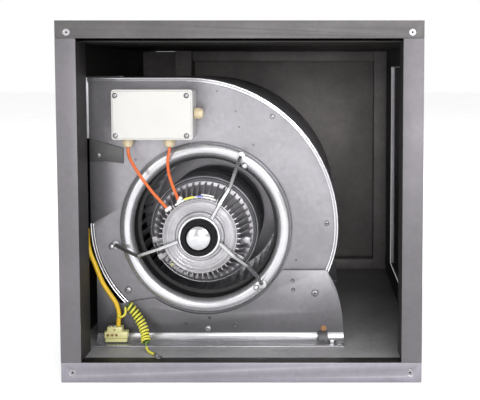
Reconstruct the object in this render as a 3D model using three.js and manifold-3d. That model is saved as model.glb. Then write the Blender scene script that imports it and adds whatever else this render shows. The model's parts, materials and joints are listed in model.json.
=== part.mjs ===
// Inline duct fan: a square sheet-metal cabinet, open on its service side, with a direct-drive
// centrifugal fan inside. Millimetres, +X right, +Y from the service side to the back, +Z up.
// The origin is on the floor, under the middle of the cabinet.
import * as THREE from 'three';
import { mergeVertices } from 'three/addons/utils/BufferGeometryUtils.js';
import Module from 'manifold-3d';

const wasm = await Module();
wasm.setup();

// ---------------------------------------------------------------- driving dimensions

const GAP = 0.3; // between pieces that touch
const SHEET = 1.5; // thickness of every sheet-metal panel

const CABINET = {
  width: 500,
  depth: 520,
  height: 500,
  flange: 28, // width of the front frame at the sides and the bottom
  topFlange: 24,
  sideLip: 45, // how far the frame's inner edge is folded back into the cabinet
  topLip: 20,
  ceiling: 472, // height of the inner ceiling
};
const COLLAR = { reach: 12, flange: 20, wall: 1.2 };

// The frame in front of the rear wall: where it starts, its rails' height and its left post.
const REAR_FRAME = { front: 228, rail: 20, leftPost: [-174, -142], leftPostFront: 210 };

// Corner rivets: head and shank radii, and how far the tail reaches behind the frame's face.
const RIVET = { head: 4.2, shank: 2.4, tail: 6 };
const INLET_OPENING = { width: 300, low: 60, high: 440 };

const AXIS = { x: -60, z: 199.5 }; // the fan's axis, which runs along Y

// The scroll casing, measured from the fan's axis.
const SCROLL = {
  left: -171.5,
  right: 197.4,
  top: 222.8,
  bottom: -165,
  front: -173,
  back: 98.5,
  tongueAngle: 0.75 * Math.PI,
  outletFloor: 132.8,
  inletHole: 118,
  seam: 6, // width of the rolled edge seam
  seamHeight: 3.5,
};
const INLET_RING = { crest: 117, halfWidth: 10, height: 9, wall: 0.6, throatLength: 16 };
const SUPPORT = {
  thickness: 2,
  left: -162,
  right: 203,
  top: -63.4,
  bendRadius: 12,
  footReach: 26,
  ringClearance: 130,
  seamClearance: 175,
};

// The double-inlet impeller, with forward-curved blades.
const IMPELLER = {
  outer: 120,
  inner: 101,
  front: -152,
  back: 76,
  disc: -38,
  blades: 28,
  bladeThickness: 1.1,
  bladeSweep: 0.13, // how far a blade's tip leads its root, in radians
  rim: 1.2,
  discThickness: 2,
  hubRadius: 16,
  hubFlange: 28,
};

const MOTOR = {
  shaft: 6,
  bearing: 12.2,
  hub: 18,
  plateFront: -234,
  plate: 53.3,
  fins: 24,
  finTip: 72,
  finThickness: 1.8,
  can: 80,
  canFront: -188,
  canBack: -70,
  capFront: -252,
  boss: 12, // how far the bearing boss stands in front of the shield's plate
  rotor: 37,
  core: [-165, -95], // the laminated core's ends along the axis
  windings: [43, 67, -179, -82], // inner and outer radius, front and back
};
const RUBBER = { outer: 25.5, front: -249, back: -234.3 };
const CLAMP = { inner: 25.8, outer: 30, front: -241, back: -234.3 };
const ARM = { radius: 2.2, pad: 5.5, padThickness: 3 };

const JUNCTION_BOX = {
  left: -188,
  right: -72,
  low: 333.5,
  high: 405.5,
  lidFront: -214,
  lidThickness: 7.5,
  wall: 2.5,
  corner: 4,
};
const GLAND = { radius: 8, bore: 3, length: 13 };
const LEAD_RADIUS = 2.3;
const EARTH_RADIUS = 3.3;
const COIL_RADIUS = 7.2;
const TAIL_RADIUS = 1.6;

// Worked out from the ones above.
const half = { x: CABINET.width / 2, y: CABINET.depth / 2 };
const floor = CABINET.flange;
const floorBelowAxis = floor - AXIS.z;

// ---------------------------------------------------------------- finishes

const FINISH = {
  cabinet: { color: 0xa5a1aa, roughness: 0.5, metalness: 0.7 },
  interior: { color: 0x4a4643, roughness: 0.7, metalness: 0.3 },
  galvanised: { color: 0xb9b7be, roughness: 0.38, metalness: 0.85 },
  darkSheet: { color: 0x35332f, roughness: 0.6, metalness: 0.5 },
  castAluminium: { color: 0xc9c8c6, roughness: 0.42, metalness: 0.8 },
  motorCan: { color: 0x3b3d42, roughness: 0.4, metalness: 0.7 },
  steel: { color: 0xb4b4b6, roughness: 0.3, metalness: 0.9 },
  laminations: { color: 0x55585c, roughness: 0.6, metalness: 0.6 },
  rubber: { color: 0x17181a, roughness: 0.8, metalness: 0 },
  boxPlastic: { color: 0xf3f2ee, roughness: 0.55, metalness: 0 },
  glandPlastic: { color: 0xe9dfc4, roughness: 0.55, metalness: 0 },
  capacitor: { color: 0xd8d8d4, roughness: 0.5, metalness: 0.2 },
  orangeLead: { color: 0xe0562a, roughness: 0.6, metalness: 0 },
  yellowLead: { color: 0xe3c012, roughness: 0.5, metalness: 0 },
  earthLead: { color: 0xc3c63a, roughness: 0.5, metalness: 0 },
};

// ---------------------------------------------------------------- solids

// A closed geometry as a manifold solid, turned the right way out.
function toSolid(geometry) {
  const bare = geometry.clone();
  bare.deleteAttribute('normal');
  bare.deleteAttribute('uv');
  const merged = mergeVertices(bare, 1e-3);
  const vertProperties = merged.attributes.position.array;
  const triVerts = new Uint32Array(merged.index.array);
  const solid = new wasm.Manifold(new wasm.Mesh({ numProp: 3, vertProperties, triVerts }));
  if (solid.volume() > 0) return solid;
  triVerts.reverse();
  return new wasm.Manifold(new wasm.Mesh({ numProp: 3, vertProperties, triVerts }));
}

function toGeometry(solid) {
  const { vertProperties, triVerts } = solid.getMesh();
  const geometry = new THREE.BufferGeometry();
  geometry.setAttribute('position', new THREE.BufferAttribute(vertProperties, 3));
  geometry.setIndex(new THREE.BufferAttribute(triVerts, 1));
  return geometry;
}

function join(...geometries) {
  return toGeometry(geometries.map(toSolid).reduce((a, b) => a.add(b)));
}

function cut(geometry, ...tools) {
  return toGeometry(tools.map(toSolid).reduce((a, b) => a.subtract(b), toSolid(geometry)));
}

function box([x0, x1], [y0, y1], [z0, z1]) {
  const geometry = new THREE.BoxGeometry(x1 - x0, y1 - y0, z1 - z0);
  return geometry.translate((x0 + x1) / 2, (y0 + y1) / 2, (z0 + z1) / 2);
}

// A front-view outline in (x, z), made into a plate from y = front to y = back.
function frontPlate(shape, front, back, curveSegments = 10) {
  const settings = { depth: back - front, bevelEnabled: false, curveSegments };
  const geometry = new THREE.ExtrudeGeometry(shape, settings);
  return geometry.rotateX(Math.PI / 2).translate(0, back, 0);
}

// A side-view outline in (y, z), made into a bar from x = left to x = right.
function sideBar(shape, left, right, curveSegments = 8) {
  const settings = { depth: right - left, bevelEnabled: false, curveSegments };
  const geometry = new THREE.ExtrudeGeometry(shape, settings);
  const yzx = new THREE.Matrix4().makeBasis(
    new THREE.Vector3(0, 1, 0),
    new THREE.Vector3(0, 0, 1),
    new THREE.Vector3(1, 0, 0),
  );
  return geometry.applyMatrix4(yzx).translate(left, 0, 0);
}

// A closed profile of [radius, y] points, turned about the Y axis.
function turned(profile, segments = 28) {
  const points = profile.map(([radius, y]) => new THREE.Vector2(radius, y));
  const onAxis = profile[0][0] === 0 && profile.at(-1)[0] === 0;
  if (!onAxis) points.push(points[0].clone());
  return toGeometry(toSolid(new THREE.LatheGeometry(points, segments)));
}

function ring(inner, outer, front, back, segments = 28) {
  const profile = [
    [inner, front],
    [outer, front],
    [outer, back],
    [inner, back],
  ];
  return turned(profile, segments);
}

function disc(radius, front, back, segments = 20) {
  return turned([[0, front], [radius, front], [radius, back], [0, back]], segments);
}

function rectangle(left, right, low, high, corner = 0) {
  const shape = new THREE.Shape();
  if (corner === 0) {
    shape.moveTo(left, low).lineTo(right, low).lineTo(right, high).lineTo(left, high);
    return shape;
  }
  shape.absarc(right - corner, low + corner, corner, -Math.PI / 2, 0, false);
  shape.absarc(right - corner, high - corner, corner, 0, Math.PI / 2, false);
  shape.absarc(left + corner, high - corner, corner, Math.PI / 2, Math.PI, false);
  shape.absarc(left + corner, low + corner, corner, Math.PI, 1.5 * Math.PI, false);
  return shape;
}

function circle(x, z, radius) {
  return new THREE.Path().absarc(x, z, radius, 0, 2 * Math.PI, false);
}

// A round tube along a smooth curve through points.
function tube(points, radius, sides, steps) {
  const curve = new THREE.CatmullRomCurve3(points.map((p) => new THREE.Vector3(...p)));
  const section = new THREE.Shape();
  for (let i = 0; i < sides; i += 1) {
    const angle = (2 * Math.PI * i) / sides;
    const [x, y] = [radius * Math.cos(angle), radius * Math.sin(angle)];
    if (i === 0) section.moveTo(x, y);
    else section.lineTo(x, y);
  }
  return new THREE.ExtrudeGeometry(section, { steps, extrudePath: curve });
}

// A mesh in its own finish, with its node's name.
function piece(name, geometry, finish) {
  const mesh = new THREE.Mesh(geometry, new THREE.MeshStandardMaterial(finish));
  mesh.name = name;
  return mesh;
}

// ---------------------------------------------------------------- cabinet

// The top or base panel: a full-width sheet folded into a frame strip at the front, with a lip
// running back from it, and a strip at the back.
function endPanel(isTop) {
  const { x, y } = half;
  const strip = isTop ? CABINET.topFlange : CABINET.flange;
  const lipEnd = CABINET.topLip - y;
  const outline = new THREE.Shape();
  outline.moveTo(-y, 0).lineTo(y, 0).lineTo(y, strip).lineTo(y - SHEET, strip);
  outline.lineTo(y - SHEET, SHEET).lineTo(SHEET - y, SHEET).lineTo(SHEET - y, strip - SHEET);
  outline.lineTo(lipEnd, strip - SHEET).lineTo(lipEnd, strip).lineTo(-y, strip);
  const inside = x - CABINET.flange;
  const lipCorner = (side) =>
    box(
      side > 0 ? [inside, x + 1] : [-x - 1, -inside],
      [SHEET - y, lipEnd + 1],
      [strip - 2 * SHEET, strip + 1],
    );
  const panel = cut(sideBar(outline, -x, x), lipCorner(-1), lipCorner(1));
  if (!isTop) return panel;
  return toGeometry(toSolid(panel.scale(1, 1, -1))).translate(0, 0, CABINET.height);
}

// The left (side -1) or right (side 1) panel, with its folded front frame and a duct opening.
function sidePanel(side, opening) {
  const span = (a, b) => (side > 0 ? [a, b] : [-b, -a]);
  const { x, y } = half;
  const low = CABINET.flange + GAP;
  const high = CABINET.height - CABINET.topFlange - GAP;
  const inner = x - CABINET.flange;
  const skinEnd = y - SHEET - GAP;
  const skinHeight = [SHEET + GAP, CABINET.height - SHEET - GAP];
  const folded = join(
    box(span(x - SHEET, x), [-skinEnd, skinEnd], skinHeight),
    box(span(x - SHEET, x), [-y, y], [low, high]),
    box(span(inner, x), [-y, -y + SHEET], [low, high]),
    box(span(inner, inner + SHEET), [-y, -y + CABINET.sideLip], [low, CABINET.ceiling - GAP]),
    box(span(inner, x), [y - SHEET, y], [low, high]),
  );
  return cut(folded, box(span(x - 10, x + 10), opening.y, opening.z));
}

// A rectangular duct collar with an outward flange at its outer end.
function collar(side, [y0, y1], [z0, z1], innerEnd) {
  const span = (a, b) => (side > 0 ? [a, b] : [-b, -a]);
  const end = half.x + COLLAR.reach;
  const { flange, wall } = COLLAR;
  const body = join(
    box(span(innerEnd, end), [y0, y1], [z0, z1]),
    box(span(end - wall, end), [y0 - flange, y1 + flange], [z0 - flange, z1 + flange]),
  );
  const bore = box(
    span(innerEnd - 10, end + 10),
    [y0 + wall, y1 - wall],
    [z0 + wall, z1 - wall],
  );
  return cut(body, bore);
}

// A hollow square post or rail, open at both ends.
function post([x0, x1], [y0, y1], [z0, z1], alongX) {
  const inner = (a, b, open) => (open ? [a - 10, b + 10] : [a + SHEET, b - SHEET]);
  return cut(
    box([x0, x1], [y0, y1], [z0, z1]),
    box(inner(x0, x1, alongX), inner(y0, y1, false), inner(z0, z1, !alongX)),
  );
}

// A flush rivet in a corner of the front frame, with its tapered head let into the sheet.
// The clearance is 0 for the rivet itself and widens it into the hole it sits in.
function cornerRivet(x, z, clearance) {
  const front = -half.y;
  const [headRadius, shankRadius] = [RIVET.head + clearance, RIVET.shank + clearance];
  const [face, tail] = clearance > 0 ? [front - 1, front + SHEET + 1] : [front + GAP, RIVET.tail - half.y];
  const profile = [
    [0, face],
    [headRadius, face],
    [headRadius, front + 2 * GAP],
    [shankRadius, front + SHEET],
    [shankRadius, tail],
    [0, tail],
  ];
  return turned(profile, 20).translate(x, 0, z);
}

// The four rivets' places in the front frame, by corner.
function rivetPlaces() {
  const inset = CABINET.flange / 2 + 2;
  const across = half.x - inset;
  const [low, high] = [CABINET.flange / 2, CABINET.height - inset];
  return {
    bottom_left: [-across, low],
    bottom_right: [across, low],
    top_left: [-across, high],
    top_right: [across, high],
  };
}

function cabinet() {
  const group = new THREE.Group();
  const inside = half.x - SHEET - GAP;
  const liner = [-half.y + CABINET.topLip + GAP, half.y - SHEET - GAP];
  const discharge = {
    y: [SCROLL.front, SCROLL.back],
    z: [AXIS.z + SCROLL.outletFloor, AXIS.z + SCROLL.top],
  };
  const inlet = {
    y: [-INLET_OPENING.width / 2, INLET_OPENING.width / 2],
    z: [INLET_OPENING.low, INLET_OPENING.high],
  };
  const wider = (range, by) => [range[0] - by, range[1] + by];

  const { bottom_left, bottom_right, top_left, top_right } = rivetPlaces();
  const hole = ([x, z]) => cornerRivet(x, z, GAP);
  const topPanel = cut(endPanel(true), hole(top_left), hole(top_right));
  const basePanel = cut(endPanel(false), hole(bottom_left), hole(bottom_right));
  group.add(piece('top_panel', topPanel, FINISH.cabinet));
  group.add(piece('base_panel', basePanel, FINISH.cabinet));
  const leftOpening = { y: wider(discharge.y, GAP), z: wider(discharge.z, GAP) };
  group.add(piece('left_side_panel', sidePanel(-1, leftOpening), FINISH.cabinet));
  group.add(piece('right_side_panel', sidePanel(1, inlet), FINISH.cabinet));

  const scrollEdge = -(AXIS.x + SCROLL.left) + GAP;
  const dischargeCollar = collar(-1, discharge.y, discharge.z, scrollEdge);
  group.add(piece('discharge_collar', dischargeCollar, FINISH.galvanised));
  const inletCollar = collar(1, inlet.y, inlet.z, half.x + GAP);
  group.add(piece('inlet_collar', inletCollar, FINISH.galvanised));
  const clear = -COLLAR.wall - GAP;
  const blankingPanel = box(
    [half.x + COLLAR.reach / 2, half.x + COLLAR.reach / 2 + SHEET],
    wider(inlet.y, clear),
    wider(inlet.z, clear),
  );
  group.add(piece('inlet_blanking_panel', blankingPanel, FINISH.galvanised));

  const floorLiner = box([-inside, inside], liner, [floor - GAP - SHEET, floor - GAP]);
  group.add(piece('floor_liner', floorLiner, FINISH.interior));
  const ceilingLiner = box([-inside, inside], liner, [CABINET.ceiling, CABINET.ceiling + SHEET]);
  group.add(piece('ceiling_liner', ceilingLiner, FINISH.interior));

  // The rear wall is one sheet, with two posts and two hollow rails in front of it.
  const back = half.y - SHEET - GAP;
  const panelY = [back - SHEET, back];
  const tall = [floor, CABINET.ceiling - GAP];
  const frameY = [REAR_FRAME.front, panelY[0] - GAP];
  const rightPost = [half.x - CABINET.flange + 1, inside];
  const leftPost = REAR_FRAME.leftPost;
  const leftPostY = [REAR_FRAME.leftPostFront, frameY[1]];
  const between = [leftPost[1] + GAP, rightPost[0] - GAP];
  const bottomRail = post(between, frameY, [floor, floor + REAR_FRAME.rail], true);
  const topRail = post(between, frameY, [tall[1] - REAR_FRAME.rail, tall[1]], true);
  group.add(piece('rear_post_right', post(rightPost, frameY, tall, false), FINISH.interior));
  group.add(piece('rear_post_left', post(leftPost, leftPostY, tall, false), FINISH.interior));
  group.add(piece('rear_rail_bottom', bottomRail, FINISH.interior));
  group.add(piece('rear_rail_top', topRail, FINISH.interior));
  group.add(piece('rear_panel', box([-inside, inside], panelY, tall), FINISH.interior));

  for (const [corner, [x, z]] of Object.entries(rivetPlaces())) {
    group.add(piece(`corner_rivet_${corner}`, cornerRivet(x, z, 0), FINISH.steel));
  }
  return group;
}

// ---------------------------------------------------------------- scroll casing

// The three arcs of the scroll, clockwise from the top: their centres, radii and angles.
const topRadius = SCROLL.top;
const cornerRadius = -SCROLL.bottom;
const lowerRadius = -SCROLL.left;
const topArc = { x: SCROLL.right - topRadius, z: 0, r: topRadius, from: Math.PI / 2, to: 0 };
const cornerArc = { x: SCROLL.right - cornerRadius, z: 0, r: cornerRadius, from: 0, to: -Math.PI / 2 };
const lowerArc = {
  x: 0,
  z: SCROLL.bottom + lowerRadius,
  r: lowerRadius,
  from: -Math.PI / 2,
  to: SCROLL.tongueAngle - 2 * Math.PI,
};

// A strip along the scroll's outer line, width wide inwards, from the outlet to an angle.
function scrollStrip(width, endAngle) {
  const shape = new THREE.Shape();
  const arcs = [topArc, cornerArc, { ...lowerArc, to: endAngle }];
  shape.moveTo(SCROLL.left, SCROLL.top).lineTo(topArc.x, SCROLL.top);
  for (const a of arcs) shape.absarc(a.x, a.z, a.r, a.from, a.to, true);
  for (const a of arcs.reverse()) shape.absarc(a.x, a.z, a.r - width, a.to, a.from, false);
  shape.lineTo(SCROLL.left, SCROLL.top - width);
  return shape;
}

// A side plate: the scroll's outline with its inlet hole, and the rolled seam on its outside.
function sidePlate(facing) {
  const outline = new THREE.Shape();
  outline.moveTo(SCROLL.left, SCROLL.top).lineTo(topArc.x, SCROLL.top);
  for (const a of [topArc, cornerArc, { ...lowerArc, to: -Math.PI }]) {
    outline.absarc(a.x, a.z, a.r, a.from, a.to, true);
  }
  outline.holes.push(circle(0, 0, SCROLL.inletHole));
  const seam = scrollStrip(SCROLL.seam, -Math.PI);
  if (facing === 'front') {
    return join(
      frontPlate(outline, SCROLL.front, SCROLL.front + SHEET),
      frontPlate(seam, SCROLL.front - SCROLL.seamHeight, SCROLL.front + SHEET),
    );
  }
  return join(
    frontPlate(outline, SCROLL.back - SHEET, SCROLL.back),
    frontPlate(seam, SCROLL.back - SHEET, SCROLL.back + SCROLL.seamHeight),
  );
}

// The bell-mouthed inlet ring: half a torus in section, running into a straight throat.
function inletRing(facing) {
  const { crest, halfWidth, height, wall, throatLength } = INLET_RING;
  const steps = 5;
  const bow = (offset) =>
    Array.from({ length: steps + 1 }, (_, i) => {
      const t = (Math.PI * i) / steps;
      const radius = crest + (halfWidth + offset) * Math.cos(t);
      return [radius, -2 * wall - (height + offset) * Math.sin(t)];
    });
  const outside = bow(wall);
  const inside = bow(-wall);
  const throat = crest - halfWidth - 1;
  const profile = [
    ...outside,
    [throat - wall, throatLength],
    [throat + wall, throatLength],
    ...inside.reverse(),
  ];
  const geometry = turned(profile);
  if (facing === 'front') return geometry.translate(0, SCROLL.front, 0);
  return toGeometry(toSolid(geometry.scale(1, -1, 1))).translate(0, SCROLL.back, 0);
}

// The support plate that carries the scroll: it is cut round the inlet ring and the seam, and
// its lower edge is bent outwards into a foot on the cabinet's floor.
function supportPlate(facing) {
  const { thickness, left, right, top, bendRadius, footReach } = SUPPORT;
  const foot = floorBelowAxis + GAP;
  const bendTop = foot + thickness + bendRadius;
  const outline = new THREE.Shape();
  const seamEnd = -0.76 * Math.PI;
  const seamStart = -Math.acos(left / SUPPORT.seamClearance);
  outline.moveTo(left, bendTop);
  outline.lineTo(right + 2, bendTop);
  outline.quadraticCurveTo(right, bendTop + 0.6 * (top - bendTop), right - 20, top - 6);
  outline.quadraticCurveTo(right - 21.5, top, right - 26, top);
  outline.lineTo(114, top);
  outline.absarc(0, 0, SUPPORT.ringClearance, -0.26 * Math.PI, -0.7 * Math.PI, true);
  outline.absarc(0, lowerArc.z, SUPPORT.seamClearance, seamEnd, seamStart, true);
  const y = SCROLL.front - SCROLL.seamHeight - 0.5;
  const upright = frontPlate(outline, y - thickness, y);

  const fold = new THREE.Shape();
  const bendY = y - thickness - bendRadius;
  fold.moveTo(y, bendTop);
  fold.absarc(bendY, bendTop, bendRadius + thickness, 0, -Math.PI / 2, true);
  fold.lineTo(y - footReach, foot);
  fold.lineTo(y - footReach, foot + thickness);
  fold.absarc(bendY, bendTop, bendRadius, -Math.PI / 2, 0, false);
  const plate = join(upright, sideBar(fold, left, right + 2));
  if (facing === 'front') return plate;
  const middle = (SCROLL.front + SCROLL.back) / 2;
  return toGeometry(toSolid(plate.scale(1, -1, 1))).translate(0, 2 * middle, 0);
}

function scroll() {
  const group = new THREE.Group();
  const inner = [SCROLL.front + SHEET + GAP, SCROLL.back - SHEET - GAP];
  const wrap = frontPlate(scrollStrip(SHEET, lowerArc.to), ...inner);
  const tongue = {
    x: lowerArc.r * Math.cos(SCROLL.tongueAngle),
    z: lowerArc.z + lowerArc.r * Math.sin(SCROLL.tongueAngle),
  };

  // The outlet's lower wall, from the collar down to the tongue.
  const cutoff = new THREE.Shape();
  cutoff.moveTo(SCROLL.left, SCROLL.outletFloor);
  cutoff.lineTo(SCROLL.left, SCROLL.outletFloor + SHEET);
  cutoff.lineTo(tongue.x + 1, tongue.z + 3);
  cutoff.lineTo(tongue.x + 1, tongue.z + 3 - SHEET);
  // The folded tab that holds it, screwed to the front side plate.
  const tab = new THREE.Shape();
  tab.moveTo(SCROLL.left + 1, SCROLL.outletFloor);
  tab.lineTo(tongue.x + 0.5, tongue.z - 9);
  tab.lineTo(tongue.x + 0.5, tongue.z - 32);
  tab.lineTo(tongue.x - 26, tongue.z - 29);
  tab.lineTo(SCROLL.left + 1, tongue.z - 29);
  const tabBack = SCROLL.front - GAP;

  group.add(piece('scroll_wrap', wrap, FINISH.galvanised));
  group.add(piece('cutoff_plate', frontPlate(cutoff, ...inner), FINISH.darkSheet));
  group.add(piece('cutoff_tab', frontPlate(tab, tabBack - SHEET, tabBack), FINISH.darkSheet));
  for (const facing of ['front', 'rear']) {
    group.add(piece(`scroll_side_${facing}`, sidePlate(facing), FINISH.galvanised));
    group.add(piece(`inlet_ring_${facing}`, inletRing(facing), FINISH.galvanised));
    group.add(piece(`support_plate_${facing}`, supportPlate(facing), FINISH.galvanised));
  }
  return group;
}

// ---------------------------------------------------------------- impeller

// One forward-curved blade in section, as a thin strip from its root to its leading tip.
function bladeSection(turn) {
  const steps = 2;
  const side = (offset) =>
    Array.from({ length: steps + 1 }, (_, i) => {
      const t = i / steps;
      const radius = IMPELLER.inner + 0.2 + t * (IMPELLER.outer - IMPELLER.inner - 0.4);
      const angle = turn + IMPELLER.bladeSweep * t * t + offset / radius;
      return new THREE.Vector2(radius * Math.cos(angle), radius * Math.sin(angle));
    });
  const halfThickness = IMPELLER.bladeThickness / 2;
  return new THREE.Shape([...side(-halfThickness), ...side(halfThickness).reverse()]);
}

// A ring of blades between two thin rims, as punched and rolled from one strip.
function bladeCage(front, back) {
  const rims = [
    ring(IMPELLER.inner, IMPELLER.outer, front, front + IMPELLER.rim, 28),
    ring(IMPELLER.inner, IMPELLER.outer, back - IMPELLER.rim, back, 28),
  ];
  const blades = Array.from({ length: IMPELLER.blades }, (_, i) =>
    frontPlate(bladeSection((2 * Math.PI * i) / IMPELLER.blades), front + 0.5, back - 0.5),
  );
  return join(...rims, ...blades);
}

function impeller() {
  const group = new THREE.Group();
  const { outer, front, back, disc: discY, hubRadius, hubFlange } = IMPELLER;
  const discHalf = IMPELLER.discThickness / 2;
  const endRing = (y) => ring(IMPELLER.inner, outer + 1.5, y, y + 2);
  const hub = [
    [MOTOR.shaft + GAP, discY - 17],
    [hubRadius, discY - 17],
    [hubRadius, discY - 4],
    [hubFlange, discY - 4],
    [hubFlange, discY - discHalf - GAP],
    [MOTOR.shaft + GAP, discY - discHalf - GAP],
  ];
  const cages = {
    front: [front, discY - discHalf - GAP],
    rear: [discY + discHalf + GAP, back],
  };
  for (const [end, span] of Object.entries(cages)) {
    group.add(piece(`blade_cage_${end}`, bladeCage(...span), FINISH.galvanised));
  }
  const centreDisc = ring(8, outer, discY - discHalf, discY + discHalf);
  group.add(piece('impeller_centre_disc', centreDisc, FINISH.galvanised));
  group.add(piece('impeller_hub', turned(hub, 32), FINISH.castAluminium));
  group.add(piece('impeller_end_ring_front', endRing(front - 2 - GAP), FINISH.galvanised));
  group.add(piece('impeller_end_ring_rear', endRing(back + GAP), FINISH.galvanised));

  const shaft = disc(MOTOR.shaft, MOTOR.plateFront - 8, discY + 12, 24);
  group.add(piece('motor_shaft', shaft, FINISH.steel));
  const rotor = ring(MOTOR.shaft + GAP, MOTOR.rotor, ...MOTOR.core);
  group.add(piece('motor_rotor', rotor, FINISH.laminations));
  return group;
}

// ---------------------------------------------------------------- motor and its mount

// The front end shield: a flat plate on a bearing hub, with a cone of cooling fins round it.
function finnedShield() {
  const { plateFront, plate, hub, finTip, canFront } = MOTOR;
  const bore = MOTOR.bearing + GAP;
  const back = canFront - GAP;
  const shell = turned(
    [
      [bore, plateFront - MOTOR.boss],
      [hub, plateFront - MOTOR.boss],
      [hub, plateFront],
      [plate - 1, plateFront],
      [plate, plateFront + 1],
      [plate + 5, back - 17],
      [finTip - 5, back - 6],
      [finTip, back - 6],
      [finTip, back],
      [finTip - 4, back],
      [finTip - 9, back - 2],
      [plate, back - 16],
      [plate - 4, plateFront + 5],
      [hub + 3, plateFront + 5],
      [hub + 3, plateFront + 18],
      [bore, plateFront + 18],
    ],
    24,
  );
  // A fin's side view in (radius, y), turned into place about the axis.
  const outline = new THREE.Shape();
  outline.moveTo(plate - 1.5, plateFront + 0.5);
  outline.lineTo(plate + 4, plateFront + 0.5);
  outline.lineTo(finTip - 0.5, back - 13);
  outline.lineTo(finTip - 0.5, back - 2);
  const thickness = MOTOR.finThickness;
  const settings = { depth: thickness, bevelEnabled: false };
  const fins = Array.from({ length: MOTOR.fins }, (_, i) =>
    new THREE.ExtrudeGeometry(outline, settings)
      .translate(0, 0, -thickness / 2)
      .rotateY((2 * Math.PI * (i + 0.5)) / MOTOR.fins),
  );
  return join(shell, ...fins);
}

// The motor's can, with a groove round it, open at the back for the rear shield.
function motorCan() {
  const { can, canFront, canBack } = MOTOR;
  const groove = canFront + 34;
  return turned([
    [62, canFront],
    [can - 3, canFront],
    [can, canFront + 3],
    [can, groove],
    [can - 1.5, groove + 1.5],
    [can - 1.5, groove + 5],
    [can, groove + 6.5],
    [can, canBack],
    [can - 4, canBack],
    [can - 4, canFront + 4],
    [62, canFront + 4],
  ]);
}

function rearShield() {
  const front = MOTOR.canBack + GAP;
  const bore = MOTOR.bearing + GAP;
  return turned([
    [8, front + 7],
    [22, front + 8],
    [MOTOR.can - 3, front + 4],
    [MOTOR.can, front + 2],
    [MOTOR.can, front],
    [bore + 4.5, front],
    [bore + 4.5, front - 10],
    [bore, front - 10],
    [bore, front + 2],
    [8, front + 2],
  ]);
}

// The stator: a ring of laminations with its windings standing out at both ends.
function stator() {
  const outer = MOTOR.can - 4 - GAP;
  return join(ring(MOTOR.rotor + 1, outer, ...MOTOR.core), ring(...MOTOR.windings));
}

// One bent arm, from the clamp ring out to its pad on the scroll.
function motorArm(points, pad) {
  const [x, y, z] = pad;
  return join(
    tube(points, ARM.radius, 8, 10),
    disc(ARM.pad, y - ARM.padThickness, y, 16).translate(x, 0, z),
  );
}

function motor() {
  const group = new THREE.Group();
  const cap = [
    [0, MOTOR.capFront],
    [8, MOTOR.capFront + 0.8],
    [14, MOTOR.capFront + 2.6],
    [MOTOR.hub, MOTOR.capFront + 5],
    [MOTOR.hub, MOTOR.plateFront - MOTOR.boss - GAP],
    [0, MOTOR.plateFront - MOTOR.boss - GAP],
  ];
  const bearing = (front) => ring(MOTOR.shaft + GAP, MOTOR.bearing, front, front + 9, 28);
  group.add(piece('motor_end_shield_front', finnedShield(), FINISH.castAluminium));
  group.add(piece('motor_can', motorCan(), FINISH.motorCan));
  group.add(piece('motor_end_shield_rear', rearShield(), FINISH.castAluminium));
  group.add(piece('motor_stator', stator(), FINISH.laminations));
  group.add(piece('bearing_front', bearing(MOTOR.plateFront + 2), FINISH.steel));
  group.add(piece('bearing_rear', bearing(MOTOR.canBack - 8), FINISH.steel));
  group.add(piece('bearing_cap', turned(cap, 32), FINISH.steel));
  const rubber = ring(MOTOR.hub + GAP, RUBBER.outer, RUBBER.front, RUBBER.back);
  group.add(piece('rubber_mount_ring', rubber, FINISH.rubber));
  const clamp = ring(CLAMP.inner, CLAMP.outer, CLAMP.front, CLAMP.back);
  group.add(piece('motor_clamp_ring', clamp, FINISH.galvanised));

  // Each arm leaves the clamp ring, bends over the cooling fins and comes down on the scroll.
  const arms = {
    upper: {
      points: [
        [18.4, -238.5, 28],
        [29.7, -239, 47.5],
        [41.7, -226, 67.1],
        [50, -195, 95],
        [54.6, -187, 109.1],
      ],
      pad: [54.6, -184.5, 109.1],
    },
    left: {
      points: [
        [-32.6, -238.5, -7.4],
        [-57, -239, -17],
        [-91.3, -222, -31.1],
        [-115, -195, -28.5],
        [-137, -175.6, -26],
      ],
      pad: [-138, SCROLL.front - GAP, -26],
    },
    lower: {
      points: [
        [31.6, -238.5, -10.5],
        [48, -239, -27],
        [65.9, -226, -44.2],
        [77, -197, -65],
        [85.1, -187, -84.8],
      ],
      pad: [85.1, -184.5, -84.8],
    },
  };
  for (const [side, { points, pad }] of Object.entries(arms)) {
    group.add(piece(`motor_arm_${side}`, motorArm(points, pad), FINISH.steel));
  }
  return group;
}

// ---------------------------------------------------------------- junction box

// A cable gland along Z: its dome below the box wall, and its stem and nut inside.
function gland() {
  const { radius, bore, length } = GLAND;
  const wall = JUNCTION_BOX.wall;
  const nut = wall + 2 * GAP;
  return toGeometry(
    toSolid(
      turned(
        [
          [bore, -length],
          [radius - 2.5, -length],
          [radius - 0.5, -length + 3],
          [radius, -GAP],
          [radius - 2.2, -GAP],
          [radius - 2.2, nut],
          [radius, nut],
          [radius, nut + 4],
          [bore, nut + 4],
        ],
        16,
      ).rotateX(Math.PI / 2),
    ),
  );
}

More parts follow.
